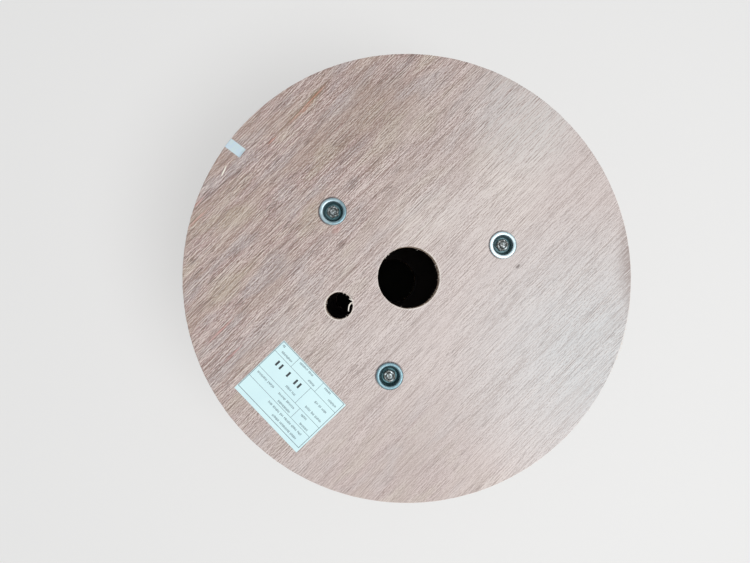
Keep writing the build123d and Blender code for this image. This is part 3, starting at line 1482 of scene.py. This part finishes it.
@dataclass
class Fastenings:
    """The tie rods with their nuts and cup washers."""

    finish: bpy.types.Material
    nut_finish: bpy.types.Material
    rod_finish: bpy.types.Material
    blueness_and_reflections: tuple[Point, ...] = ((0.12, 0.35, 190.0), (0.52, 0.40, 160.0), (0.95, 0.05, 150.0))
    pitch: float = 1 * MM
    thread_depth: float = 0.55 * MM
    rod_radius: float = 3 * MM
    rod_steps: int = 16
    end_inset: float = 0.55 * MM
    end_rise: float = 0.4 * MM
    washer_steps: int = 72
    chamfer_steps: int = 96
    bore_steps: int = 64
    mouth_radius: float = 9 * MM
    floor_radius: float = 7.5 * MM
    lip_radius: float = 12 * MM
    lip_height: float = 0.9 * MM
    lip_edge: float = 0.6 * MM
    sheet: float = 0.8 * MM
    hole_radius: float = 3.5 * MM
    nut_half_width: float = 5 * MM
    nut_height: float = 5 * MM
    nut_turns: tuple[float, ...] = (12.0, 24.0, 36.0)

    def _washer(self, end: End, index: int) -> bpy.types.Object:
        """Turn one cup washer with a rolled lip.

        Args:
            end: The end of the drum.
            index: The tie rod's number, from 1.

        Returns:
            The washer.
        """
        node = f"cup_washer_{end.value}_{index}"
        x, y, foot, top = stance(node)
        depth = top - foot
        floor = depth - self.sheet
        centre = (x, y, top if end is End.UPPER else foot)
        crown_middle = (self.mouth_radius + self.lip_radius) / 2
        crown_half = (self.lip_radius - self.mouth_radius) / 2
        shape = [(self.lip_radius, self.lip_height)]
        turns = 10
        for step in range(turns + 1):
            angle = math.pi * step / turns
            radius = crown_middle + crown_half * math.cos(angle)
            shape.append((radius, self.lip_edge * (1.0 - math.sin(angle))))
        bend = 1.2 * MM
        for step in range(7):
            angle = math.pi / 2 * step / 6
            radius = self.floor_radius - bend + bend * math.cos(angle)
            shape.append((radius, floor - bend + bend * math.sin(angle)))
        shape.extend([(self.hole_radius, floor), (self.hole_radius, depth)])
        shape.extend([(self.floor_radius, depth), (self.floor_radius + self.sheet, depth - bend)])
        shape.append((self.mouth_radius + self.sheet, self.lip_height))
        heights = [(radius, -end.outward * below) for radius, below in shape]
        washer = Bench.turned(f"zinc_{node}", heights, centre, self.washer_steps)
        self._paint_blueness_and_reflection(washer, centre, *self.blueness_and_reflections[index - 1])
        washer.data.materials.append(self.finish)
        Bench.smooth(washer, 40.0)
        Bench.hand_over(washer, "zinc_steel", [node])
        return washer

    @staticmethod
    def _paint_blueness_and_reflection(washer: bpy.types.Object, centre: Point, least: float, swing: float, reflected_side: float) -> None:
        """Store how blue the passivation is at each point of a washer, with a painted reflection that makes
        one side paler.

        Args:
            washer: The washer.
            centre: Its axis.
            least: How blue its palest side is, from 0 to 1.
            swing: How much bluer the other side is.
            reflected_side: Direction of the palest side, where the painted reflection falls, in degrees.
        """
        tint = washer.data.attributes.new(BLUENESS_AND_REFLECTION, "FLOAT", "POINT")
        for point in washer.data.vertices:
            angle = math.atan2(point.co.y - centre[1], point.co.x - centre[0]) - math.radians(reflected_side)
            tint.data[point.index].value = least + swing * (0.5 - 0.5 * math.cos(angle))

    def _nut(self, end: End, index: int) -> bpy.types.Object:
        """Shape one hexagon nut with chamfered corners and a plain round hole.

        Args:
            end: The end of the drum.
            index: The tie rod's number, from 1.

        Returns:
            The nut.
        """
        node = f"nut_{end.value}_{index}"
        x, y, foot, top = stance(node)
        centre = (x, y, (foot + top) / 2)
        corner = self.nut_half_width / math.cos(math.pi / 6)
        turn = math.radians(self.nut_turns[index - 1] * end.outward) + math.pi / 6
        Bench.clear_selection()
        bpy.ops.mesh.primitive_cylinder_add(
            vertices=6, radius=corner, depth=self.nut_height, location=centre, rotation=(0.0, 0.0, turn)
        )
        nut = Bench.settle(Bench.named(f"hex_{node}"))
        half = self.nut_height / 2
        drop = (corner - self.nut_half_width) * math.tan(math.radians(30))
        rim = 0.35 * MM
        blank = [
            (0.0, -half), (self.nut_half_width - rim, -half), (corner, drop + rim - half),
            (corner, half - drop - rim), (self.nut_half_width - rim, half), (0.0, half),
        ]
        chamfer = Bench.turned("nut_chamfer", blank, centre, self.chamfer_steps)
        modifier = nut.modifiers.new("chamfer", "BOOLEAN")
        modifier.object = chamfer
        modifier.operation = "INTERSECT"
        Bench.apply_all(nut)
        bpy.data.objects.remove(chamfer, do_unlink=True)
        Bench.cut(nut, [Bench.turned("nut_bore", self._bore_shape(half), centre, self.bore_steps)])
        nut.data.materials.append(self.nut_finish)
        Bench.smooth(nut, 25.0)
        Bench.hand_over(nut, "zinc_steel", [node])
        return nut

    def _bore_shape(self, half: float) -> list[Flat]:
        """List the corners of a nut's hole, with its ends opened out.

        Args:
            half: Half the nut's height.

        Returns:
            Radius and height of each corner.
        """
        clear = 0.05 * MM
        mouth = self.rod_radius + 0.5 * MM
        wall = self.rod_radius + clear
        over = 0.5 * MM
        return [
            (0.0, -half - over), (mouth, -half - over), (mouth, -half), (wall, -half + 0.5 * MM),
            (wall, half - 0.5 * MM), (mouth, half), (mouth, half + over), (0.0, half + over),
        ]

    def _rod(self, index: int) -> bpy.types.Object:
        """Wind the thread of one tie rod and close its ends.

        Args:
            index: The tie rod's number, from 1.

        Returns:
            The rod.
        """
        node = f"tie_rod_{index}"
        x, y, foot, top = stance(node)
        Bench.clear_selection()
        start = Vector((self.rod_radius - self.thread_depth, 0.0, foot - self.pitch))
        bpy.ops.mesh.primitive_plane_add(size=MM, location=start)
        rod = Bench.settle(Bench.named(f"threaded_{node}"))
        with Bench.editing():
            bpy.ops.mesh.select_all(action="SELECT")
            bpy.ops.mesh.merge(type="CENTER")
            for outwards in (self.thread_depth, -self.thread_depth):
                step = Vector((outwards, 0.0, self.pitch / 2))
                bpy.ops.mesh.extrude_vertices_move(TRANSFORM_OT_translate={"value": step})
        screw = rod.modifiers.new("thread", "SCREW")
        screw.axis = "Z"
        screw.angle = math.tau
        screw.screw_offset = self.pitch
        screw.iterations = round((top - foot) / self.pitch) + 2
        screw.steps = self.rod_steps
        screw.render_steps = self.rod_steps
        screw.use_merge_vertices = True
        screw.merge_threshold = 1e-6
        Bench.apply_all(rod)
        with Bench.editing():
            for height, upwards in ((top - self.end_rise, 1.0), (foot + self.end_rise, -1.0)):
                bpy.ops.mesh.select_all(action="SELECT")
                bpy.ops.mesh.bisect(
                    plane_co=(0.0, 0.0, height), plane_no=(0.0, 0.0, upwards), use_fill=True, clear_outer=True
                )
                bpy.ops.mesh.inset(thickness=self.end_inset, depth=self.end_rise)
            bpy.ops.mesh.select_all(action="SELECT")
            bpy.ops.mesh.remove_doubles(threshold=1e-7)
            bpy.ops.mesh.normals_make_consistent(inside=False)
        rod.location = (x, y, 0.0)
        Bench.settle(rod)
        rod.data.materials.append(self.rod_finish)
        Bench.smooth(rod, 35.0)
        Bench.hand_over(rod, "zinc_steel", [node])
        return rod

    def build(self) -> None:
        """Make every rod, nut and washer."""
        for index in RODS:
            self._rod(index)
            for end in End:
                self._washer(end, index)
                self._nut(end, index)


@dataclass
class PaperLabel:
    """The label: a sheet with a faint wave, and a ruled form printed on it."""

    paper: bpy.types.Material
    line_ink: bpy.types.Material
    bold_ink: bpy.types.Material
    length: float = 79 * MM
    width: float = 60 * MM
    turn: float = math.radians(-46.4)
    lift: float = 0.04 * MM
    wave: float = 0.16 * MM
    wave_size: float = 16 * MM
    sheet: float = 0.08 * MM
    margin_start: float = 0.7 * MM
    margin_end: float = 1.7 * MM
    margin_top: float = 0.7 * MM
    margin_foot: float = 4.2 * MM
    rule: float = 0.35 * MM
    frame_rule: float = 0.5 * MM
    stroke: float = 0.48 * MM
    rows: tuple[tuple[float, float, tuple[int, ...]], ...] = (
        (0.03, 0.05, (3,)), (0.075, 0.135, (14,)), (0.31, 0.045, (10, 6)), (0.52, 0.145, (8,)),
        (0.715, 0.045, (8,)), (0.84, 0.13, (10,)), (0.39, 0.465, (7, 4)), (0.715, 0.465, (6, 4, 8)),
        (0.75, 0.305, (4, 3, 6)), (0.045, 0.625, (12, 8)), (0.39, 0.625, (9, 10)), (0.45, 0.715, (16,)),
        (0.75, 0.605, (7,)), (0.81, 0.715, (10,)), (0.38, 0.835, (5, 8, 4, 9, 7, 5)),
        (0.52, 0.935, (9, 13, 8)),
    )
    long_rules: tuple[float, ...] = (0.20, 0.55, 0.76)
    short_rules: tuple[Point, ...] = (
        (0.265, 0.0, 0.2), (0.66, 0.0, 0.2), (0.60, 0.2, 0.55), (0.685, 0.55, 0.76),
    )
    bold_places: tuple[float, ...] = (0.13, 0.19, 0.31, 0.43, 0.49)
    bold_reach: Flat = (0.265, 0.36)
    bold_stroke: float = 1.9 * MM
    ink_lift: float = 0.015 * MM
    draws: random.Random = field(default_factory=lambda: random.Random(60))

    def __post_init__(self) -> None:
        """Read the label's place from the frame."""
        self.centre = Vector(stance("label")[:3])
        self.strips: list[bpy.types.Object] = []

    def _sheet(self) -> bpy.types.Object:
        """Make the paper.

        Returns:
            The sheet.
        """
        Bench.clear_selection()
        bpy.ops.mesh.primitive_grid_add(x_subdivisions=66, y_subdivisions=50, size=1.0)
        sheet = Bench.named("paper_label")
        sheet.scale = (self.length, self.width, 1.0)
        Bench.settle(sheet)
        sheet.location = self.centre + Vector((0.0, 0.0, self.lift))
        sheet.rotation_euler = (0.0, 0.0, self.turn)
        Bench.settle(sheet)
        Bench.ripple(sheet, "Z", self.wave_size, self.wave, 0.0)
        Bench.thicken(sheet, self.sheet)
        sheet.data.materials.append(self.paper)
        Bench.smooth(sheet, 40.0)
        Bench.hand_over(sheet, "label_paper", ["label"])
        return sheet

    def _at(self, along: float, down: float) -> Flat:
        """Turn a place in the printed frame into one on the sheet.

        Args:
            along: Share of the frame's length.
            down: Share of the frame's width.

        Returns:
            X and Y from the middle of the sheet.
        """
        reach = self.length - self.margin_start - self.margin_end
        drop = self.width - self.margin_top - self.margin_foot
        x = -self.length / 2 + self.margin_start + along * reach
        y = self.width / 2 - self.margin_top - down * drop
        return (x, y)

    def _strip(self, start: Flat, end: Flat, thick: float, bold: bool = False) -> None:
        """Print a straight strip between two places in the frame.

        Args:
            start: Shares of the frame's length and width.
            end: Shares of the frame's length and width.
            thick: The strip's thickness.
            bold: Whether it takes the bold ink.
        """
        first = Vector(self._at(*start))
        last = Vector(self._at(*end))
        run = last - first
        middle = (first + last) / 2
        Bench.clear_selection()
        bpy.ops.mesh.primitive_grid_add(
            x_subdivisions=max(1, round(run.length / (1.2 * MM))), y_subdivisions=1, size=1.0
        )
        strip = Bench.named("strip")
        strip.scale = (run.length + (0.0 if bold else thick), thick, 1.0)
        Bench.settle(strip)
        strip.rotation_euler = (0.0, 0.0, math.atan2(run.y, run.x))
        strip.location = (middle.x, middle.y, 0.0)
        Bench.settle(strip)
        strip.data.materials.append(self.line_ink)
        strip.data.materials.append(self.bold_ink)
        for face in strip.data.polygons:
            face.material_index = 1 if bold else 0
        self.strips.append(strip)

    def _row(self, along: float, down: float, words: tuple[int, ...], tall: float = 1.8 * MM) -> None:
        """Print a row of plain strokes in groups, in place of a line of text.

        Args:
            along: Where the row starts, as a share of the frame's length.
            down: Its middle, as a share of the frame's width.
            words: How many strokes each group has.
            tall: The strokes' height.
        """
        share = 1.0 / (self.length - self.margin_start - self.margin_end)
        drop = 1.0 / (self.width - self.margin_top - self.margin_foot)
        place = along
        for count in words:
            for _ in range(count):
                half = tall * self.draws.uniform(0.26, 0.5) * drop
                shift = tall * self.draws.uniform(-0.12, 0.12) * drop
                self._strip((place, down + shift - half), (place, down + shift + half), self.stroke)
                place += self.draws.uniform(0.8, 1.1) * MM * share
            place += 1.1 * MM * share

    def _print(self, sheet: bpy.types.Object) -> bpy.types.Object:
        """Print the form and lay it on the paper.

        Args:
            sheet: The paper.

        Returns:
            The print.
        """
        for down in (0.0, 1.0):
            self._strip((0.0, down), (1.0, down), self.frame_rule)
        for along in (0.0, 1.0):
            self._strip((along, 0.0), (along, 1.0), self.frame_rule)
        for down in self.long_rules:
            self._strip((0.0, down), (1.0, down), self.rule)
        for along, top, foot in self.short_rules:
            self._strip((along, top), (along, foot), self.rule)
        for along, down, words in self.rows:
            self._row(along, down, words)
        top, foot = self.bold_reach
        for along in self.bold_places:
            self._strip((along, top), (along, foot), self.bold_stroke, bold=True)
        Bench.grab(*self.strips)
        bpy.ops.object.join()
        ink = Bench.named("label_print")
        ink.location = self.centre + Vector((0.0, 0.0, 1 * MM))
        ink.rotation_euler = (0.0, 0.0, self.turn)
        Bench.settle(ink)
        wrap = ink.modifiers.new("on_paper", "SHRINKWRAP")
        wrap.target = sheet
        wrap.wrap_method = "PROJECT"
        wrap.use_project_z = True
        wrap.use_negative_direction = True
        wrap.use_positive_direction = False
        wrap.offset = self.ink_lift
        Bench.apply_all(ink)
        Bench.hand_over(ink, "label_paper", [])
        return ink

    def build(self) -> None:
        """Make the label and its print."""
        self._print(self._sheet())


@dataclass
class RimTape:
    """A short strip of tape, stuck on the upper face and folded down over the rim."""

    finish: bpy.types.Material
    angle: float = math.radians(143.3)
    width: float = 9.2 * MM
    on_face: float = 16.5 * MM
    on_rim: float = 10.5 * MM
    fold: float = 0.9 * MM
    lift: float = 0.05 * MM
    sheet: float = 0.07 * MM
    wrinkle: float = 0.06 * MM
    wrinkle_size: float = 4 * MM
    rim_gap: float = 0.2 * MM

    def build(self, flange: Flange) -> bpy.types.Object:
        """Make the tape.

        Args:
            flange: The flange that it is stuck to.

        Returns:
            The tape.
        """
        rim = flange.radius + self.rim_gap
        length = self.on_face + self.on_rim
        Bench.clear_selection()
        bpy.ops.mesh.primitive_grid_add(x_subdivisions=54, y_subdivisions=18, size=1.0)
        tape = Bench.named("rim_tape")
        tape.scale = (length, self.width, 1.0)
        Bench.settle(tape)
        for point in tape.data.vertices:
            point.co = self._folded(point.co.x + length / 2, point.co.y, rim, flange.face_height)
        tape.rotation_euler = (0.0, 0.0, self.angle)
        Bench.settle(tape)
        Bench.ripple(tape, "NORMAL", self.wrinkle_size, self.wrinkle, 0.2)
        Bench.thicken(tape, self.sheet)
        tape.data.materials.append(self.finish)
        Bench.smooth(tape, 40.0)
        Bench.hand_over(tape, "tape_paper", ["edge_tape"])
        return tape

    def _folded(self, run: float, sideways: float, rim: float, face: float) -> Vector:
        """Place a point of the flat strip on the flange.

        Args:
            run: Distance from the strip's inner end.
            sideways: Distance from its middle line.
            rim: Radius that its outer part lies on.
            face: Height of the flange's face.

        Returns:
            The point, for a strip that runs along +X.
        """
        start = rim - self.on_face
        flat = self.on_face - self.fold
        if run < flat:
            return Vector((start + run, sideways, face + self.lift))
        turn = (run - flat) / self.fold
        corner = rim - self.fold
        if turn < math.pi / 2:
            x = corner + self.fold * math.sin(turn)
            z = face + self.lift - self.fold * (1.0 - math.cos(turn))
        else:
            x = rim
            z = face + self.lift - self.fold - (run - flat - self.fold * math.pi / 2)
        sag = rim - math.sqrt(rim * rim - sideways * sideways)
        return Vector((x - sag, sideways, z))


@dataclass(frozen=True)
class SawnEdge:
    """A round sawn edge, and the fibres along it: how many lie between which angles in degrees."""

    name: str
    centre: Flat
    radius: float
    outwards: float
    longest: float
    spans: tuple[tuple[float, float, int], ...]


@dataclass
class TornFibres:
    """Fibres and splinters that the saw left on the edges, as joined slivers."""

    finish: bpy.types.Material
    reach: float
    drop: float = 0.9 * MM
    root_depth: float = 0.35 * MM
    shortest: float = 0.4 * MM
    draws: random.Random = field(default_factory=lambda: random.Random(7))

    def _blank(self) -> bpy.types.Object:
        """Shape the sliver that every fibre is copied from: 1 long, 1 wide and tapered.

        Returns:
            The sliver, along +X.
        """
        blank = Bench.bar("sliver_blank", [0.3, 0.6, 0.85])
        for point in blank.data.vertices:
            thin = 1.0 - 0.85 * point.co.x ** 1.5
            point.co.y *= thin
            point.co.z *= thin
        return blank

    @staticmethod
    def _fibre(
        blank: bpy.types.Object, root: Vector, heading: Vector, size: Vector, bend: Vector
    ) -> bpy.types.Object:
        """Copy one fibre into place.

        Args:
            blank: The sliver that it is copied from.
            root: Where it grows from the wood.
            heading: Which way it points.
            size: Its length, width and thickness.
            bend: How far its tip is pulled aside.

        Returns:
            The fibre.
        """
        mesh = blank.data.copy()
        frame = heading.to_track_quat("X", "Z").to_matrix().to_4x4()
        scale = Matrix.Diagonal((size.x, size.y, size.z, 1.0))
        for point in mesh.vertices:
            share = point.co.x
            point.co = frame @ scale @ point.co + root + bend * share * share
        return Bench.placed("fibre", mesh)

    def _join(self, name: str, fibres: list[bpy.types.Object]) -> bpy.types.Object:
        """Join fibres into one piece and hand it over.

        Args:
            name: The piece's name.
            fibres: The fibres.

        Returns:
            The piece.
        """
        Bench.grab(*fibres)
        bpy.ops.object.join()
        piece = Bench.named(name)
        piece.data.materials.append(self.finish)
        Bench.hand_over(piece, "plywood", [])
        return piece

    def around_edge(self, edge: SawnEdge, end: End) -> bpy.types.Object:
        """Scatter fibres along both rims of a sawn edge of one flange.

        Args:
            edge: The sawn edge.
            end: The end of the drum.

        Returns:
            The joined fibres.
        """
        _, _, foot, top = stance(f"flange_{end.value}")
        blank = self._blank()
        fibres = []
        for start, finish, count in edge.spans:
            for _ in range(count):
                angle = math.radians(self.draws.uniform(start, finish))
                normal = Vector((math.cos(angle), math.sin(angle), 0.0))
                height = self.draws.choice((foot, top))
                sink = self.draws.uniform(0.15, 1.0) * self.drop
                below = math.copysign(sink, height - (foot + top) / 2)
                root = normal * (edge.radius - edge.outwards * self.root_depth)
                root = root + Vector((*edge.centre, height - below))
                aside = Vector((-normal.y, normal.x, 0.0)) * self.draws.uniform(-1.3, 1.3)
                heading = (normal * edge.outwards + aside).normalized()
                length = edge.longest * self.draws.uniform(0.25, 1.0) ** 1.6
                length = min(length, self._room(root, heading))
                wide = self.draws.uniform(0.2, 0.5) * MM
                size = Vector((length, wide, wide * 0.6))
                pull = [self.draws.uniform(-0.3, 0.3) * length for _ in range(2)]
                bend = Vector((*pull, 0.0))
                fibres.append(self._fibre(blank, root, heading, size, bend * 0.5))
        bpy.data.objects.remove(blank, do_unlink=True)
        return self._join(f"{edge.name}_{end.value}", fibres)

    def _room(self, root: Vector, heading: Vector) -> float:
        """Return how long a fibre may be before it leaves the frame's box.

        Args:
            root: Where it starts.
            heading: Which way it points.

        Returns:
            The length that fits.
        """
        room = 1.0
        for start, way in ((root.x, heading.x), (root.y, heading.y)):
            if abs(way) > 1e-6:
                limit = math.copysign(self.reach, way)
                room = min(room, (limit - start) / way * 0.8)
        return max(room, self.shortest)


@dataclass
class Splinter:
    """A flat splinter along a few given points, in millimetres, with their heights above a face."""

    finish: bpy.types.Material
    name: str
    points: tuple[Point, ...]
    width: float
    thickness: float

    def __post_init__(self) -> None:
        """Set the points on the upper flange."""
        face = stance("flange_upper")[3]
        self.line = [Vector((x * MM, y * MM, face + height * MM)) for x, y, height in self.points]

    def _on_line(self, share: float) -> tuple[Vector, Vector]:
        """Find a place on the line through the points.

        Args:
            share: Share of the line's stretches, from 0 to 1.

        Returns:
            The place, and the level direction across the line there.
        """
        way = share * (len(self.line) - 1)
        stretch = min(int(way), len(self.line) - 2)
        start = self.line[stretch]
        step = self.line[stretch + 1] - start
        across = Vector((-step.y, step.x, 0.0)).normalized()
        return (start + step * (way - stretch), across)

    def build(self) -> bpy.types.Object:
        """Make the splinter.

        Returns:
            The splinter.
        """
        cuts = 3 * (len(self.points) - 1)
        piece = Bench.bar(self.name, [step / cuts for step in range(1, cuts)])
        for point in piece.data.vertices:
            place, across = self._on_line(point.co.x)
            taper = 1.0 - 0.5 * abs(2.0 * point.co.x - 1.0) ** 2
            sideways = across * (point.co.y * self.width * taper)
            point.co = place + sideways + Vector((0.0, 0.0, point.co.z * self.thickness * taper))
        soft = piece.modifiers.new("soft", "SUBSURF")
        soft.levels = 1
        soft.render_levels = 1
        Bench.apply_all(piece)
        piece.data.materials.append(self.finish)
        Bench.smooth(piece, 60.0)
        Bench.hand_over(piece, "plywood", [])
        return piece


# Camera, lights and floor


@dataclass(frozen=True)
class Studio:
    """The camera at the photograph's angle, soft light and a pale floor."""

    image_width: int = 750
    focal_pixels: float = 585.0
    sensor_width: float = 36.0
    camera_place: Point = (-42.42 * MM, -8.72 * MM, 767.56 * MM)
    tilt_x: float = math.radians(0.576)
    tilt_y: float = math.radians(-1.380)
    key_place: Point = (0.55, -0.42, 1.75)
    key_aim: Point = (0.08, -0.05, 0.25)
    key_size: float = 0.8
    key_power: float = 15.5
    sky_strength: float = 0.47
    backdrop_strength: float = 0.93
    floor_size: float = 6.0
    floor_tone: Tone = tone(236, 236, 235)
    painted_shadow_tone: Tone = tone(84, 86, 80)
    floor_paleness: float = 0.5
    drum_radius: float = 200 * MM
    half_fade: float = 10 * MM

    def camera(self) -> None:
        """Place the camera."""
        data = bpy.data.cameras.new("photo_camera")
        data.sensor_width = self.sensor_width
        data.lens = self.focal_pixels * self.sensor_width / self.image_width
        data.clip_start = 10 * MM
        camera = Bench.placed("photo_camera", data)
        turn = Matrix.Rotation(self.tilt_y, 4, "Y") @ Matrix.Rotation(self.tilt_x, 4, "X")
        camera.matrix_world = Matrix.Translation(self.camera_place) @ turn
        bpy.context.scene.camera = camera

    def lights(self) -> None:
        """Place the key light and set the sky."""
        lamp = bpy.data.lights.new("soft_key", "AREA")
        lamp.shape = "DISK"
        lamp.size = self.key_size
        lamp.energy = self.key_power
        key = Bench.placed("soft_key", lamp)
        key.location = self.key_place
        aim = Vector(self.key_aim) - Vector(self.key_place)
        key.rotation_euler = aim.to_track_quat("-Z", "Y").to_euler()
        world = bpy.data.worlds.new("soft_sky")
        graph = Graph("soft_sky", world)
        sky, backdrop = (
            graph.node("ShaderNodeBackground", {}, {"Color": (1.0, 1.0, 1.0, 1.0), "Strength": strength})
            for strength in (self.sky_strength, self.backdrop_strength)
        )
        mixed = graph.node("ShaderNodeMixShader", {}, {0: graph.seen(), 1: sky, 2: backdrop})
        graph.node("ShaderNodeOutputWorld", {}, {"Surface": mixed})
        bpy.context.scene.world = world

    def floor(self) -> None:
        """Lay a floor that keeps the drum's shadow and is as pale as the backdrop, with a dark shadow painted
        under the drum.
        """
        Bench.clear_selection()
        bpy.ops.mesh.primitive_plane_add(size=self.floor_size, location=(0.0, 0.0, 0.0))
        floor = Bench.named("pale_floor")
        graph = Graph("pale_floor")
        pale = graph.node("ShaderNodeEmission", {}, {"Strength": self.backdrop_strength})
        # Painted shadow: under the drum, where the floor shows only through the bore, it is dark and gets no
        # pale glow.
        reach = graph.distance(graph.place(), (0.0, 0.0, 0.0))
        clear = reach.rise(self.drum_radius - self.half_fade, self.drum_radius + self.half_fade)
        floor_with_shadow = graph.mix(clear, self.painted_shadow_tone, self.floor_tone)
        matt = graph.node("ShaderNodeBsdfDiffuse", {}, {"Color": floor_with_shadow})
        share = graph.seen() * clear * self.floor_paleness
        mixed = graph.node("ShaderNodeMixShader", {}, {0: share, 1: matt, 2: pale})
        graph.node("ShaderNodeOutputMaterial", {}, {"Surface": mixed})
        floor.data.materials.append(graph.owner)

    def build(self) -> None:
        """Set up everything."""
        self.camera()
        self.lights()
        self.floor()
        bpy.context.scene.view_settings.view_transform = "Standard"


# Assembly


def washer_shadow_rings() -> tuple[Ring, ...]:
    """Paint a dark ring round each upper washer: the gap round its lip, with the lip's shadow painted over
    it.

    Returns:
        The rings, strongest on the side away from the light, where the shadow falls.
    """
    rings = []
    for index, side in zip(RODS, (165.0, 160.0, 120.0)):
        centre = stance(f"cup_washer_upper_{index}")[:2]
        rings.append(Ring(centre, radius=12.2 * MM, width=1.3 * MM, side=side, colour=LIP_SHADOW, share=0.95))
    return tuple(rings)


def sawn_edges(flange: Flange) -> list[SawnEdge]:
    """List where the saw tore one flange.

    Args:
        flange: The flange.

    Returns:
        Its rim, its bore and its drive hole.
    """
    rim_spans = ((0.0, 360.0, 150),)
    if flange.end is End.UPPER:
        rim_spans = ((-22.0, -4.0, 90), (-75.0, 35.0, 190), (35.0, 285.0, 70))
    bore_spans = ((-60.0, 30.0, 60), (30.0, 300.0, 30))
    drive_spans = ((0.0, 80.0, 26), (150.0, 300.0, 30), (300.0, 360.0, 8))
    middle = (0.0, 0.0)
    return [
        SawnEdge("rim_fibres", middle, flange.radius, 1.0, 2.6 * MM, rim_spans),
        SawnEdge("bore_fibres", middle, flange.bore_radius, -1.0, 2.2 * MM, bore_spans),
        SawnEdge("drive_hole_fibres", flange.drive_place, flange.drive_radius, -1.0, 2.0 * MM, drive_spans),
    ]


def build_flanges(fibre: bpy.types.Material) -> None:
    """Build both flanges, the tape on the upper one and the torn fibres on their edges.

    Args:
        fibre: The finish of torn fibres.
    """
    marked = VeneerFinish("face_veneer_marked", FACE_MARKS, washer_shadow_rings() + HOLE_RINGS).build()
    plain = VeneerFinish("face_veneer").build()
    inner = VeneerFinish("inner_veneer", shaded_within=BARREL_BORE).build()
    torn = TornFibres(fibre, reach=199.75 * MM)
    for end in End:
        _, _, foot, top = stance(f"flange_{end.value}")
        edge = PlyEdgeFinish(f"ply_edge_{end.value}", foot, top - foot, PLY_JOINTS).build()
        front = marked if end is End.UPPER else plain
        flange = Flange(end, front, inner, edge, PLY_JOINTS)
        flange.build()
        for sawn in sawn_edges(flange):
            torn.around_edge(sawn, end)
        if end is End.UPPER:
            RimTape(TapeFinish().build()).build(flange)


def build_splinters(fibre: bpy.types.Material) -> None:
    """Build the splinters that the photograph shows one by one.

    Args:
        fibre: The finish of torn fibres.
    """
    curled = (
        (-49.2, -22.6, -0.6), (-51.0, -22.3, 0.05), (-52.6, -24.2, -0.2), (-53.3, -27.0, -0.9),
        (-53.4, -30.2, -1.6),
    )
    loose = ((-160.9, 98.6, 0.24), (-162.4, 95.2, 0.2), (-164.0, 92.0, 0.2), (-165.3, 89.3, 0.22))
    short = ((-48.4, -20.3, 0.15), (-50.6, -19.9, 0.2), (-53.0, -18.9, -0.1))
    Splinter(fibre, "drive_hole_splinter", curled, 1.25 * MM, 0.3 * MM).build()
    Splinter(fibre, "drive_hole_chip", short, 0.9 * MM, 0.3 * MM).build()
    Splinter(fibre, "loose_sliver", loose, 1.5 * MM, 0.36 * MM).build()


def main() -> None:
    """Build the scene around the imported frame."""
    logging.basicConfig(level=logging.INFO, format="%(name)s: %(message)s")
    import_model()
    Studio().build()
    build_flanges(FibreFinish("torn_fibre").build())
    build_splinters(FibreFinish("clean_fibre", tone(252, 248, 240), tone(240, 232, 220)).build())
    Barrel(StaveFinish().build()).build()
    Fastenings(
        ZincFinish().build(),
        ZincFinish("soiled_zinc", grime_and_glints=0.85, bright=tone(150, 160, 162), blue=tone(92, 110, 114)).build(),
        ZincFinish("rod_zinc", grime_and_glints=0.7, bright=tone(138, 148, 150), blue=tone(100, 110, 114)).build(),
    ).build()
    PaperLabel(
        PaperFinish().build(),
        InkFinish("rule_ink", tone(92, 110, 118), tone(126, 146, 154)).build(),
        InkFinish("bold_ink", tone(24, 30, 36), tone(50, 60, 66)).build(),
    ).build()


if __name__ == "__main__":
    main()
